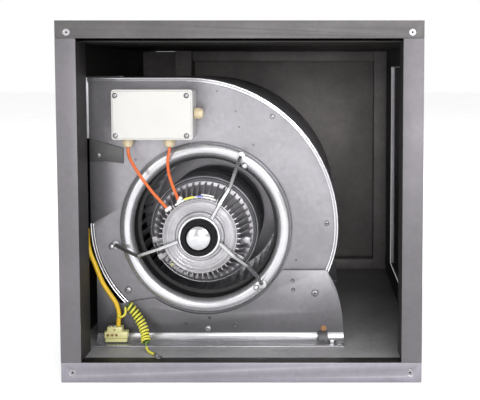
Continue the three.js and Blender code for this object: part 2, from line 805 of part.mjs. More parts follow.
function junctionBox() {
  const group = new THREE.Group();
  const { left, right, low, high, lidFront, lidThickness, wall, corner } = JUNCTION_BOX;
  const back = SCROLL.front - GAP;
  const lidBack = lidFront + lidThickness;
  const rim = 1; // the lid stands this far over the base
  const glandY = (lidBack + back) / 2;
  const glandHole = GLAND.radius - 2;
  const drill = (x, z) => disc(glandHole, -15, 15).rotateX(Math.PI / 2).translate(x, glandY, z);
  const base = { left: left + rim, right: right - rim, low: low + rim, high: high - rim };
  const outline = rectangle(base.left, base.right, base.low, base.high, corner);
  const pocket = rectangle(base.left + wall, base.right - wall, base.low + wall, base.high - wall, 2);
  const glands = { left: -170, right: -109.5 };
  const sideGlandZ = 370.3;

  const shell = cut(
    frontPlate(outline, lidBack + GAP, back, 4),
    frontPlate(pocket, lidBack - 1, back - wall, 3),
    drill(glands.left, base.low),
    drill(glands.right, base.low),
    disc(glandHole, -15, 15).rotateZ(Math.PI / 2).translate(base.right, glandY, sideGlandZ),
  );
  group.add(piece('junction_box_base', shell, FINISH.boxPlastic));
  const lid = frontPlate(rectangle(left, right, low, high, corner), lidFront, lidBack, 4);
  group.add(piece('junction_box_lid', lid, FINISH.boxPlastic));

  for (const [side, x] of Object.entries(glands)) {
    const body = gland().translate(x, glandY, base.low);
    group.add(piece(`cable_gland_${side}`, body, FINISH.glandPlastic));
  }
  const supplyGland = gland().rotateY(-Math.PI / 2).translate(base.right, glandY, sideGlandZ);
  group.add(piece('cable_gland_supply', supplyGland, FINISH.glandPlastic));

  const strip = box([-150, -112], [back - wall - 14, back - wall - GAP], [349, 364]);
  group.add(piece('terminal_strip', strip, FINISH.glandPlastic));
  const capacitor = disc(11, -30, 30, 24).rotateZ(Math.PI / 2).translate(-140, glandY + 1, 387);
  group.add(piece('run_capacitor', capacitor, FINISH.capacitor));
  return group;
}

// ---------------------------------------------------------------- wiring

// The routes are lists of places that the wires pass, in millimetres from the origin.
const ROUTES = {
  leadLeft: [
    [-170, -189.9, 320.9],
    [-169.6, -190.5, 312],
    [-164.5, -196, 301.5],
    [-150, -205, 282],
    [-130.6, -216, 260.5],
    [-115, -225, 246.2],
    [-105.5, -231, 238],
  ],
  leadRight: [
    [-109.5, -189.9, 320.9],
    [-110.6, -190.5, 312],
    [-111.5, -195, 301],
    [-108.3, -205, 285],
    [-101, -216, 269],
    [-93.6, -226, 256.5],
    [-89.8, -231, 250.6],
  ],
  earthLead: [
    [-236.5, -168, 196],
    [-235.5, -176, 182],
    [-230, -184, 164.5],
    [-222, -186, 146],
    [-212, -187, 121.5],
    [-203.5, -187, 107],
    [-192, -187.5, 89.5],
    [-187.5, -188, 74],
    [-188, -188.3, 64],
    [-188.5, -188.5, 55.6],
  ],
  coil: [
    [-176.8, -189, 90.5],
    [-166.3, -190, 80],
    [-158.8, -192, 70.2],
    [-152.5, -195, 60.7],
    [-147.6, -200, 51.6],
    [-144.4, -206.5, 43.6],
    [-142.4, -212.5, 37.6],
  ],
  tail: [
    [-142.9, -211, 39.1],
    [-141.2, -216, 34],
    [-138.5, -221, 31.4],
    [-134, -226.5, 30.3],
    [-129, -231.5, 30.2],
    [-125, -235.5, 30.2],
  ],
};

function wiring() {
  const group = new THREE.Group();
  const { leadLeft, leadRight, earthLead, coil, tail } = ROUTES;
  group.add(piece('motor_lead_left', tube(leadLeft, LEAD_RADIUS, 8, 16), FINISH.orangeLead));
  group.add(piece('motor_lead_right', tube(leadRight, LEAD_RADIUS, 8, 14), FINISH.orangeLead));
  group.add(piece('earth_lead', tube(earthLead, EARTH_RADIUS, 8, 22), FINISH.yellowLead));
  const curly = join(tube(coil, COIL_RADIUS, 10, 10), tube(tail, TAIL_RADIUS, 8, 12));
  group.add(piece('earth_coil', curly, FINISH.earthLead));

  const block = join(
    box([-208, -174], [-194, -182.5], [38, 48]),
    box([-204, -182], [-194, -182.5], [47, 55]),
  );
  group.add(piece('earth_terminal_block', block, FINISH.glandPlastic));
  const top = floor + GAP;
  const barrel = new THREE.CylinderGeometry(2.4, 2.4, 6, 12).rotateZ(Math.PI / 2);
  const eye = new THREE.CylinderGeometry(4.5, 4.5, 1.4, 20).rotateX(Math.PI / 2);
  const hole = new THREE.CylinderGeometry(2.1, 2.1, 6, 16).rotateX(Math.PI / 2);
  const terminal = cut(
    join(barrel.translate(0, 0, 2.4), eye.translate(6.5, 0, 0.7)),
    hole.translate(6.5, 0, 0),
  );
  terminal.rotateZ(-Math.PI / 4).translate(-122.4, -238.1, top);
  group.add(piece('earth_ring_terminal', terminal, FINISH.steel));
  return group;
}

// ---------------------------------------------------------------- the whole fan

const fan = new THREE.Group();
fan.add(scroll(), impeller(), motor());
fan.position.set(AXIS.x, 0, AXIS.z);

const ductFan = new THREE.Group();
ductFan.add(cabinet(), fan, junctionBox(), wiring());

export default ductFan;
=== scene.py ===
"""The looks of an inline duct fan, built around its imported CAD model.

Metres, +Z up, -Y is the service side. Sizes of the fan's pieces are written in millimetres, which MM or
a helper turns into metres; the lights, the camera and the materials' scales are not.
"""
import json
import math

import bmesh
import bpy
from mathutils import Matrix, Vector

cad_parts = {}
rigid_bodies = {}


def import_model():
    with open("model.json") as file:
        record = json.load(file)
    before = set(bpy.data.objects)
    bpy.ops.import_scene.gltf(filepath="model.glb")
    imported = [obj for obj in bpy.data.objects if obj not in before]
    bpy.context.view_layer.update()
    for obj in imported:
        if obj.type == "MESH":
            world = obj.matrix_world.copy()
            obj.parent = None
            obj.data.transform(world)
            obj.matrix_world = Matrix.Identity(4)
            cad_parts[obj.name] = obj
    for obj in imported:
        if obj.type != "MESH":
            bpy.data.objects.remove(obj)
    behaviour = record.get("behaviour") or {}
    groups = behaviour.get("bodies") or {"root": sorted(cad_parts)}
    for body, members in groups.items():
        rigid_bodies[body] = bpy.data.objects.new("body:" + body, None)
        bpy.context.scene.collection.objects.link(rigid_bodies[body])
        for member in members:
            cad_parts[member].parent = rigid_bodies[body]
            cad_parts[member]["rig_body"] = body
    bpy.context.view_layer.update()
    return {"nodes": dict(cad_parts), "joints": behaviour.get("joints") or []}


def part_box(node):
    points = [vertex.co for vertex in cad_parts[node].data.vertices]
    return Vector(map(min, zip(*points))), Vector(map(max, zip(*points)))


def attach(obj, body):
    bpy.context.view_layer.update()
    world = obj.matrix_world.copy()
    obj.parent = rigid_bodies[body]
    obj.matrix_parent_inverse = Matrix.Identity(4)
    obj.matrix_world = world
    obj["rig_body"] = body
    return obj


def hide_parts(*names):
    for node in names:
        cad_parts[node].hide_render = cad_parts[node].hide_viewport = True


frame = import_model()

MM = 0.001
HOUSING = "housing"
IMPELLER = "impeller"
AXIS = Vector(frame["joints"][0]["pos_m"])


# ---- materials


class Nodes:
    """A material's node tree, with short calls for what the materials here share."""

    def __init__(self, name):
        self.material = bpy.data.materials.new(name)
        self.material.use_nodes = True
        self.tree = self.material.node_tree
        self.shader = self.tree.nodes["Principled BSDF"]
        self.coords = self.tree.nodes.new("ShaderNodeTexCoord")

    def make(self, kind, **inputs):
        """A node with its inputs set by name."""
        node = self.tree.nodes.new("ShaderNode" + kind)
        for name, value in inputs.items():
            node.inputs[name.replace("_", " ")].default_value = value
        return node

    def link(self, source, target):
        self.tree.links.new(source, target)

    def stretched(self, scale):
        mapping = self.make("Mapping", Scale=scale)
        self.link(self.coords.outputs["Object"], mapping.inputs["Vector"])
        return mapping.outputs["Vector"]

    def noise(self, scale, detail=4.0, roughness=0.55, stretch=(1, 1, 1)):
        node = self.make("TexNoise", Scale=scale, Detail=detail, Roughness=roughness)
        self.link(self.stretched(stretch), node.inputs["Vector"])
        return node.outputs["Fac"]

    def crystals(self, scale):
        node = self.make("TexVoronoi", Scale=scale)
        self.link(self.coords.outputs["Object"], node.inputs["Vector"])
        return node.outputs["Color"]

    def slope(self, direction):
        """How far a place lies along a direction, with a soft noise on it."""
        dot = self.make("VectorMath")
        dot.operation = "DOT_PRODUCT"
        dot.inputs[1].default_value = direction
        self.link(self.coords.outputs["Object"], dot.inputs[0])
        total = self.make("Math")
        total.operation = "ADD"
        self.link(dot.outputs["Value"], total.inputs[0])
        self.link(self.range(self.noise(11, 3), -0.08, 0.08), total.inputs[1])
        return total.outputs["Value"]

    def ramp(self, source, stops):
        node = self.make("ValToRGB")
        elements = node.color_ramp.elements
        while len(elements) < len(stops):
            elements.new(0.5)
        for element, (place, color) in zip(elements, stops):
            element.position = place
            element.color = (*color, 1)
        self.link(source, node.inputs["Fac"])
        return node.outputs["Color"]

    def blend(self, factor, a, b, mode="MIX"):
        node = self.make("Mix")
        node.data_type = "RGBA"
        node.blend_type = mode
        for socket, value in ((node.inputs[0], factor), (node.inputs[6], a), (node.inputs[7], b)):
            if isinstance(value, (int, float)):
                socket.default_value = value
            elif isinstance(value, tuple):
                socket.default_value = (*value, 1)
            else:
                self.link(value, socket)
        return node.outputs[2]

    def range(self, source, low, high):
        node = self.make("MapRange", To_Min=low, To_Max=high)
        self.link(source, node.inputs["Value"])
        return node.outputs["Result"]

    def bump(self, height, strength, distance):
        node = self.make("Bump", Strength=strength, Distance=distance)
        self.link(height, node.inputs["Height"])
        self.link(node.outputs["Normal"], self.shader.inputs["Normal"])

    def surface(self, color, roughness, metallic=0.0, **sockets):
        for name, value in (("Base Color", color), ("Roughness", roughness)):
            if hasattr(value, "links"):
                self.link(value, self.shader.inputs[name])
            else:
                self.shader.inputs[name].default_value = value
        self.shader.inputs["Metallic"].default_value = metallic
        for name, value in sockets.items():
            self.shader.inputs[name.replace("_", " ")].default_value = value
        return self.material


def shades(color, spread):
    """A darker and a lighter shade of a colour."""
    return [tuple(max(0.0, c * (1 + s)) for c in color) for s in (-spread, spread)]


def sheet_metal(name, color, roughness, metallic, spangle, scratches=0.25, spread=0.12, shade_direction=None):
    """Coated or galvanised sheet: crystal spangle, soft smudges, rolling scratches, and, when a direction
    is given, painted shade that darkens it towards the bottom along that direction."""
    n = Nodes(name)
    dark, light = shades(color, spread)
    smudge = n.ramp(n.noise(9, 6, 0.6), [(0.3, dark), (0.72, light)])
    crystals = n.ramp(n.crystals(150), [(0.0, (0.9, 0.9, 0.9)), (1.0, (1.08, 1.08, 1.1))])
    mottled = n.blend(spangle, smudge, crystals, "MULTIPLY")
    lines = n.noise(260, 3, 0.6, (1, 0.03, 0.06))
    marks = n.ramp(lines, [(0.62, (1, 1, 1)), (0.74, (0.72, 0.72, 0.74))])
    worn_and_shaded = n.blend(scratches, mottled, marks, "MULTIPLY")
    # Painted shade: a ramp along the given direction darkens the sheet towards the bottom.
    if shade_direction:
        worn_and_shaded = n.blend(1.0, worn_and_shaded, n.ramp(n.slope(shade_direction), PAINTED_SHADE_RAMP), "MULTIPLY")
    gloss = n.range(n.noise(22, 5, 0.6), roughness - 0.09, roughness + 0.1)
    n.bump(n.noise(480, 3), 0.06, 0.0006)
    return n.surface(worn_and_shaded, gloss, metallic)


def cast_metal(name, color, roughness, metallic):
    """Die-cast metal: a grainy skin with darker grime in patches."""
    n = Nodes(name)
    dark, light = shades(color, 0.16)
    skin = n.ramp(n.noise(60, 8, 0.65), [(0.25, dark), (0.7, light)])
    grime = n.ramp(n.noise(18, 5, 0.6), [(0.35, (0.78, 0.77, 0.75)), (0.6, (1, 1, 1))])
    gloss = n.range(n.noise(90, 6), roughness - 0.1, roughness + 0.12)
    n.bump(n.noise(700, 4), 0.18, 0.0005)
    return n.surface(n.blend(0.7, skin, grime, "MULTIPLY"), gloss, metallic)


def turned_steel(name, color, roughness):
    """Plated or turned steel, with faint rings from the lathe."""
    n = Nodes(name)
    dark, light = shades(color, 0.1)
    skin = n.ramp(n.noise(120, 5, 0.6), [(0.3, dark), (0.7, light)])
    gloss = n.range(n.noise(300, 3), roughness - 0.06, roughness + 0.08)
    n.bump(n.noise(900, 2, 0.5, (1, 0.1, 1)), 0.08, 0.0003)
    return n.surface(skin, gloss, 1.0)


def enamel(name, color, roughness):
    """Dark baked enamel with dust and small chips along it."""
    n = Nodes(name)
    dark, light = shades(color, 0.25)
    skin = n.ramp(n.noise(40, 6, 0.6), [(0.3, dark), (0.7, light)])
    dust = n.ramp(n.noise(260, 6, 0.7), [(0.62, (0, 0, 0)), (0.8, (0.09, 0.09, 0.09))])
    gloss = n.range(n.noise(70, 4), roughness - 0.08, roughness + 0.14)
    n.bump(n.noise(600, 4), 0.12, 0.0004)
    return n.surface(n.blend(1.0, skin, dust, "ADD"), gloss, 0.35)


def moulded_plastic(name, color, roughness):
    """Moulded plastic with a fine spark-eroded grain and slight yellowing."""
    n = Nodes(name)
    dark, light = shades(color, 0.035)
    tone = n.ramp(n.noise(14, 4), [(0.3, dark), (0.7, light)])
    gloss = n.range(n.noise(200, 3), roughness - 0.05, roughness + 0.08)
    n.bump(n.noise(900, 3), 0.14, 0.0004)
    return n.surface(tone, gloss, 0.0, Subsurface_Weight=0.05, Subsurface_Radius=(0.01, 0.008, 0.006))


def rubber(name, color):
    n = Nodes(name)
    dark, light = shades(color, 0.35)
    tone = n.ramp(n.noise(90, 6), [(0.3, dark), (0.75, light)])
    n.bump(n.noise(1100, 4), 0.25, 0.0004)
    return n.surface(tone, n.range(n.noise(50, 4), 0.6, 0.85), 0.0, Specular_IOR_Level=0.15)


def sleeving(name, color, second=None):
    """Flexible lead sleeving: a faint weave, and a second colour in worn or shaded patches."""
    n = Nodes(name)
    dark, light = shades(color, 0.15)
    tone = n.ramp(n.noise(45, 4), [(0.3, dark), (0.7, light)])
    if second:
        tone = n.blend(n.range(n.noise(30, 2), 0.0, 0.9), tone, second)
    weave = n.make("TexWave", Scale=700, Distortion=1.5)
    n.link(n.stretched((1, 1, 1.4)), weave.inputs["Vector"])
    n.bump(weave.outputs["Fac"], 0.22, 0.0003)
    return n.surface(tone, n.range(n.noise(150, 3), 0.38, 0.55), 0.0, Coat_Weight=0.12)


# Steps of the painted shade ramp: darkest at the bottom, full tone higher up.
SHADE_STEPS = ((0.1, 0.25), (0.22, 0.36), (0.38, 0.66), (0.62, 0.96), (0.8, 0.86))
PAINTED_SHADE_RAMP = [(at, (shade, shade, shade)) for at, shade in SHADE_STEPS]
PAINTED = {
    # Painted light: the cabinet's frame is one sheet in three copies, lit on the base, in painted shade on
    # the sides and darker painted shade on the top.
    "cabinet": sheet_metal("cabinet_sheet", (0.21, 0.20, 0.228), 0.45, 0.45, 0.5, 0.4),
    # Painted shade: the cabinet's inside, the same sheet as its frame, made nearly black.
    "interior": sheet_metal("interior_sheet", (0.028, 0.0258, 0.0243), 0.55, 0.3, 0.9, 0.5, 0.3),
    # The galvanised sheet carries painted shade, darker towards the bottom left.
    "galvanised": sheet_metal(
        "galvanised_sheet", (0.315, 0.305, 0.325), 0.38, 0.72, 0.7, 0.3, 0.12, shade_direction=(0.6, 0, 2.0)
    ),
    "bright_sheet": sheet_metal("bright_galvanised", (0.60, 0.595, 0.62), 0.24, 0.9, 0.5, 0.25, 0.08),
    "blades": sheet_metal("blade_strip", (0.5, 0.5, 0.52), 0.35, 0.8, 0.6, 0.3, 0.3),
    "dark_sheet": sheet_metal("dark_sheet", (0.078, 0.077, 0.078), 0.5, 0.4, 0.8, 0.6, 0.3),
    "cast_aluminium": cast_metal("cast_aluminium", (0.29, 0.282, 0.30), 0.38, 0.8),
    "motor_can": enamel("motor_enamel", (0.045, 0.046, 0.052), 0.38),
    "steel": turned_steel("plated_steel", (0.42, 0.42, 0.43), 0.27),
    "dome": turned_steel("polished_dome", (0.52, 0.525, 0.55), 0.14),
    "laminations": cast_metal("laminations", (0.16, 0.165, 0.17), 0.55, 0.6),
    "rubber": rubber("black_rubber", (0.005, 0.005, 0.006)),
    "box_plastic": moulded_plastic("box_plastic", (0.43, 0.423, 0.408), 0.5),
    "gland_plastic": moulded_plastic("gland_plastic", (0.50, 0.42, 0.28), 0.42),
    "capacitor": cast_metal("capacitor_can", (0.6, 0.6, 0.58), 0.35, 0.7),
    "orange_lead": sleeving("orange_sleeving", (0.50, 0.062, 0.02), (0.62, 0.17, 0.035)),
    "yellow_lead": sleeving("yellow_sleeving", (0.68, 0.47, 0.006), (0.42, 0.22, 0.005)),
    "earth_stripe": sleeving("earth_stripe", (0.05, 0.10, 0.02), (0.10, 0.16, 0.02)),
    # Painted light: a lighter copy of the inner sheet for the floor liner, where the front light reaches.
    "lit_floor_sheet": sheet_metal("lit_floor_sheet", (0.31, 0.305, 0.31), 0.5, 0.4, 0.8, 0.5, 0.2),
    "shaded_cabinet_side": sheet_metal("cabinet_side_sheet", (0.110, 0.103, 0.112), 0.45, 0.45, 0.5, 0.4),
    "bell": sheet_metal("bell_sheet", (0.46, 0.457, 0.475), 0.24, 0.75, 0.4, 0.2, 0.08),
    # Painted shade: a near-black sheet for the bell's throat, the impeller's end rings and the screw slots.
    "shadowed": sheet_metal("painted_shadow_sheet", (0.016, 0.016, 0.017), 0.6, 0.2, 0.7, 0.4, 0.3),
    # Painted light: a lighter copy of the inner sheet for the rear frame and panel.
    "lit_rear_sheet": sheet_metal("lit_rear_sheet", (0.175, 0.162, 0.157), 0.55, 0.25, 0.9, 0.5, 0.3),
    "shaded_cabinet_top": sheet_metal("cabinet_top_sheet", (0.070, 0.065, 0.066), 0.5, 0.4, 0.6, 0.5, 0.2),
    "dark_cast": cast_metal("dark_cast", (0.11, 0.11, 0.112), 0.4, 0.6),
    "bronze": turned_steel("bronze", (0.32, 0.17, 0.09), 0.35),
    "block_plastic": moulded_plastic("block_plastic", (0.46, 0.44, 0.20), 0.35),
    "blue_sleeve": moulded_plastic("blue_sleeve", (0.12, 0.13, 0.42), 0.4),
    "white_sleeve": moulded_plastic("white_sleeve", (0.52, 0.52, 0.51), 0.4),
    "earth_lead": sleeving("earth_sleeving", (0.52, 0.49, 0.04), (0.60, 0.55, 0.07)),
}


# ---- meshes


def shade(mesh, angle=35):
    """Smooth shading, with edges sharper than the angle kept crisp."""
    mesh.shade_smooth()
    mesh.set_sharp_from_angle(angle=math.radians(angle))


def in_scene(name, data):
    item = bpy.data.objects.new(name, data)
    bpy.context.scene.collection.objects.link(item)
    return item


def add_piece(name, mesh, look, body=HOUSING, replaces=(), angle=35):
    piece = in_scene(name, mesh)
    mesh.materials.clear()
    mesh.materials.append(PAINTED[look])
    shade(mesh, angle)
    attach(piece, body)
    if replaces:
        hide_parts(*replaces)
    return piece


def repainted(mesh, look, chosen):
    """Gives another look to the faces that are chosen."""
    mesh.materials.append(PAINTED[look])
    for face in mesh.polygons:
        if chosen(face):
            face.material_index = len(mesh.materials) - 1


def made(name, work):
    mesh = bpy.data.meshes.new(name)
    work.to_mesh(mesh)
    work.free()
    return mesh


def cleaned(mesh):
    """The mesh with doubled points merged and its faces turned outwards."""
    work = bmesh.new()
    work.from_mesh(mesh)
    bmesh.ops.remove_doubles(work, verts=work.verts, dist=1e-7)
    bmesh.ops.recalc_face_normals(work, faces=work.faces)
    work.to_mesh(mesh)
    work.free()
    return mesh


def mesh_from(name, verts, faces):
    mesh = bpy.data.meshes.new(name)
    mesh.from_pydata(verts, [], faces)
    return cleaned(mesh)


def prism(name, first, second):
    """A solid between two outlines in metres with matching points."""
    count = len(first)
    faces = [tuple(range(count)), tuple(reversed(range(count, 2 * count)))]
    faces += [(j, j + count, (j + 1) % count + count, (j + 1) % count) for j in range(count)]
    return mesh_from(name, [*first, *second], faces)


def set_round(mesh, count, start=0.0):
    """Copies of a mesh set evenly round the Y axis, in its place."""
    copies = [placed(mesh.copy(), tilted(360 * (i + start) / count, "Y")) for i in range(count)]
    bpy.data.meshes.remove(mesh)
    return copies


def block(name, width, depth, height):
    """A box about the origin, sizes in millimetres."""
    work = bmesh.new()
    bmesh.ops.create_cube(work, size=1)
    return placed(made(name, work), Matrix.Diagonal((width * MM, depth * MM, height * MM, 1)))


def joined(name, meshes):
    """Several meshes as one mesh."""
    work = bmesh.new()
    for mesh in meshes:
        work.from_mesh(mesh)
        bpy.data.meshes.remove(mesh)
    return made(name, work)


def placed(mesh, matrix):
    mesh.transform(matrix)
    return mesh


def move(x, y, z):
    """A shift by millimetres."""
    return Matrix.Translation((x * MM, y * MM, z * MM))


def at_axis():
    return Matrix.Translation((AXIS.x, 0, AXIS.z))


def tilted(degrees, axis):
    return Matrix.Rotation(math.radians(degrees), 4, axis)


def path_of(points, y=None):
    """Points in millimetres as a path in metres; with y they are (x, z) in that plane."""
    return [Vector(p if y is None else (p[0], y, p[1])) * MM for p in points]


def lathe(name, profile, segments=96):
    """A closed profile of (radius, y) in millimetres, turned about the Y axis."""
    verts, faces = [], []
    count = len(profile)
    for i in range(segments):
        turn = 2 * math.pi * i / segments
        for radius, y in profile:
            verts.append((radius * MM * math.cos(turn), y * MM, radius * MM * math.sin(turn)))
    for i in range(segments):
        a, b = i * count, ((i + 1) % segments) * count
        for j in range(count):
            k = (j + 1) % count
            faces.append((a + j, a + k, b + k, b + j))
    return mesh_from(name, verts, faces)


def rounded(profile, radius, steps=3):
    """The closed profile with its corners rounded."""
    result = []
    count = len(profile)
    for i in range(count):
        before, here, after = (Vector(profile[(i + k) % count]) for k in (-1, 0, 1))
        if here.x < 1e-6:
            result.append(tuple(here))
            continue
        reach = min(radius, (before - here).length * 0.45, (after - here).length * 0.45)
        start = here + (before - here).normalized() * reach
        end = here + (after - here).normalized() * reach
        for step in range(steps + 1):
            t = step / steps
            result.append(tuple(start * (1 - t) ** 2 + here * 2 * t * (1 - t) + end * t * t))
    return result


def bevelled(mesh, width, segments=2):
    """The mesh with its sharp edges bevelled, width in millimetres."""
    holder = in_scene("bevelling", mesh)
    modifier = holder.modifiers.new("bevel", "BEVEL")
    modifier.width = width * MM
    modifier.segments = segments
    modifier.limit_method = "ANGLE"
    modifier.angle_limit = math.radians(30)
    modifier.use_clamp_overlap = True
    return baked(holder)


def baked(holder, tools=()):
    """The holder's mesh after its modifiers; the holder and the tools go."""
    bpy.context.view_layer.update()
    evaluated = holder.evaluated_get(bpy.context.evaluated_depsgraph_get())
    result = bpy.data.meshes.new_from_object(evaluated)
    for item in (holder, *tools):
        bpy.data.objects.remove(item)
    return result


def copy_of(node, bevel):
    """A CAD node's mesh with its edges bevelled."""
    work = bmesh.new()
    work.from_mesh(frame["nodes"][node].data)
    bmesh.ops.remove_doubles(work, verts=work.verts, dist=2e-6)
    return bevelled(made(node + "_fine", work), bevel)


def plate(name, outline, front, back, bevel):
    """A flat plate in the front view, from an outline of (x, z) in millimetres."""
    curve = bpy.data.curves.new(name, "CURVE")
    curve.dimensions = "2D"
    curve.fill_mode = "BOTH"
    thickness = (back - front) * MM
    curve.extrude = thickness / 2 - bevel * MM
    curve.bevel_depth = bevel * MM
    curve.bevel_resolution = 1
    curve.offset = -bevel * MM
    spline = curve.splines.new("POLY")
    spline.points.add(len(outline) - 1)
    for point, (x, z) in zip(spline.points, outline):
        point.co = (x * MM, z * MM, 0, 1)
    spline.use_cyclic_u = True
    holder = bpy.data.objects.new(name, curve)
    mesh = bpy.data.meshes.new_from_object(holder)
    bpy.data.objects.remove(holder)
    bpy.data.curves.remove(curve)
    mesh.transform(move(0, (front + back) / 2, 0) @ tilted(90, "X"))
    return cleaned(mesh)


def arc(x, z, radius, start, end, steps):
    """Points on an arc, angles in degrees."""
    angles = [math.radians(start + (end - start) * i / steps) for i in range(steps + 1)]
    return [(x + radius * math.cos(a), z + radius * math.sin(a)) for a in angles]


def circle(x, z, radius, steps=24):
    return arc(x, z, radius, 0, 360 * (steps - 1) / steps, steps - 1)


def smooth_path(points, per_span=8):
    """A Catmull-Rom curve through points, as a list of points."""
    knots = [Vector(p) for p in points]
    knots = [2 * knots[0] - knots[1], *knots, 2 * knots[-1] - knots[-2]]
    path = []
    for p0, p1, p2, p3 in zip(knots, knots[1:], knots[2:], knots[3:]):
        straight, bend, twist = p2 - p0, 2 * p0 - 5 * p1 + 4 * p2 - p3, 3 * p1 - p0 - 3 * p2 + p3
        for i in range(per_span):
            t = i / per_span
            path.append(0.5 * (2 * p1 + straight * t + bend * t * t + twist * t**3))
    path.append(knots[-2])
    return path


def folded(points, radius):
    """A path of straight runs with a short bend at each inner point."""
    path = [points[0]]
    for before, here, after in zip(points, points[1:], points[2:]):
        start = here + (before - here).normalized() * radius
        end = here + (after - here).normalized() * radius
        for step in range(5):
            t = step / 4
            path.append(start * (1 - t) ** 2 + here * 2 * t * (1 - t) + end * t * t)
    return [*path, points[-1]]


def length_of(path):
    return sum((b - a).length for a, b in zip(path, path[1:]))


def section_frames(path):
    """Tangent and side directions along a path, turning as little as they can."""
    tangents = []
    for i in range(len(path)):
        ahead = path[min(i + 1, len(path) - 1)]
        behind = path[max(i - 1, 0)]
        tangents.append((ahead - behind).normalized())
    side = tangents[0].orthogonal().normalized()
    sides = []
    for tangent in tangents:
        side = (side - tangent * side.dot(tangent)).normalized()
        sides.append(side.copy())
    return tangents, sides


def swept(name, path, section, closed=False, flat_side=None):
    """A section of (a, b) in metres swept along a path of points in metres, with capped ends."""
    tangents, sides = section_frames(path)
    verts, faces = [], []
    count = len(section)
    for point, tangent, side in zip(path, tangents, sides):
        if flat_side is not None:
            side = (flat_side - tangent * flat_side.dot(tangent)).normalized()
        other = tangent.cross(side)
        verts.extend(point + side * a + other * b for a, b in section)
    rings = len(path)
    for i in range(rings if closed else rings - 1):
        a, b = i * count, ((i + 1) % rings) * count
        for j in range(count):
            k = (j + 1) % count
            faces.append((a + j, a + k, b + k, b + j))
    if not closed:
        faces.append(tuple(range(count))[::-1])
        faces.append(tuple((rings - 1) * count + j for j in range(count)))
    return mesh_from(name, verts, faces)


def round_section(radius, sides):
    """A round section in metres, from millimetres."""
    turns = [2 * math.pi * i / sides for i in range(sides)]
    return [(radius * MM * math.cos(t), radius * MM * math.sin(t)) for t in turns]


def flat_section(width, thickness, corner=0.3):
    """A flat strip's section in metres, from millimetres, with small chamfers."""
    w, t, c = width / 2 * MM, thickness / 2 * MM, corner * MM
    upper = [(w, t - c), (w - c, t), (c - w, t), (-w, t - c)]
    return [*upper, *((-a, -b) for a, b in upper)]


# ---- fasteners


def screw(radius, height, drive="cross"):
    """A pan-head screw facing -Y, on the plane y = 0, with a cross or a slot cut into its head."""
    shape = [(0, 1), (0.45, 0.97), (0.78, 0.78), (0.96, 0.42), (1, 0.1), (1, 0), (0, 0)]
    dome = [(radius * r, -height * y) for r, y in shape]
    cut = (radius * 1.25, height * 0.9, radius * 0.24)
    return carved(lathe("screw_head", dome, 32), drive_bars(cut, -height, drive))


def drive_bars(size, y, drive):
    """The bars of a screw's cross or slot, as (length, depth, width)."""
    turns = (0, 90) if drive == "cross" else (35,)
    return [placed(block("bar", *size), move(0, y, 0) @ tilted(turn, "Y")) for turn in turns]


def carved(mesh, cutters):
    """The mesh with the cutters taken out of it."""
    body = in_scene("carving", mesh)
    tools = [in_scene("cutter", cutter) for cutter in cutters]
    for tool in tools:
        modifier = body.modifiers.new("cut", "BOOLEAN")
        modifier.operation = "DIFFERENCE"
        modifier.solver = "EXACT"
        modifier.object = tool
    return baked(body, tools)


def drive_marks(radius, height, drive):
    """Thin dark bars at the bottom of a screw's slot or cross: painted shade in the recess."""
    return drive_bars((radius * 1.2, height * 0.3, radius * 0.22), -height * 0.62, drive)


def washer(outer, inner, thickness):
    return lathe("washer", ring_profile(inner, outer, -thickness, 0), 32)


def dimple(radius):
    """A small pressed pip with a rim, facing -Y."""
    depth = 0.8
    shape = [(0, 0.2), (0.5, 0.35), (0.8, 1), (1, 0.6), (1.15, 0), (0, 0)]
    return lathe("dimple", [(radius * r, -depth * y) for r, y in shape], 24)


# ---- cabinet


def local_box(node):
    """A CAD node's low and high corners in millimetres, x and z from the fan's axis."""
    low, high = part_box(node)
    shift = Vector((AXIS.x, 0, AXIS.z))
    return (low - shift) / MM, (high - shift) / MM


def box_mm(node):
    """A CAD node's low and high corners in millimetres."""
    return tuple(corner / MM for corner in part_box(node))


def carried(node, look, bevel=0.3):
    """A replacement for a CAD node that keeps its shape and gets rounded edges."""
    body = frame["nodes"][node]["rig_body"]
    return add_piece(node + "_shape", copy_of(node, bevel), look, body, [node])


def cabinet():
    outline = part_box("top_panel")[1]
    edge, fold = 0.5 * MM, 1.2 * MM

    def inward(face):
        x, _, z = face.center
        return abs(x) < outline.x - edge and edge < z < outline.z - edge

    def inner(face):
        return inward(face) and abs(face.center.y) < outline.y - fold

    # Faces on the fold of the opening's front edge, which get a painted highlight.
    def highlighted_fold(face):
        return inward(face) and not inner(face) and face.center.y < 0 and abs(face.normal.y) < 0.9

    for node in ("top_panel", "base_panel", "left_side_panel", "right_side_panel"):
        # The top and side panels get darker copies of the frame sheet: painted shade.
        look = {"top_panel": "shaded_cabinet_top", "base_panel": "cabinet"}.get(node, "shaded_cabinet_side")
        mesh = carried(node, look, 0.9).data
        # Painted shade on the panels' inner faces.
        repainted(mesh, "interior", inner)
        # Painted highlight: the bright sheet on the fold of the opening's edge.
        repainted(mesh, "bright_sheet", highlighted_fold)
    for node in ("discharge_collar", "inlet_collar"):
        carried(node, "galvanised")
    blank = carried("inlet_blanking_panel", "galvanised")
    # Painted shade on the blanking panel's inner face.
    repainted(blank.data, "interior", lambda face: face.normal.x < -0.5)
    # Painted shade on the ceiling liner.
    carried("ceiling_liner", "interior", 0.5)
    # Painted light: the rear frame and panel, and the floor liner, get lighter copies of the inner sheet.
    for part in ("post_right", "post_left", "rail_bottom", "rail_top", "panel"):
        carried("rear_" + part, "lit_rear_sheet", 0.5)
    carried("floor_liner", "lit_floor_sheet", 0.5)
    frame_rivets()


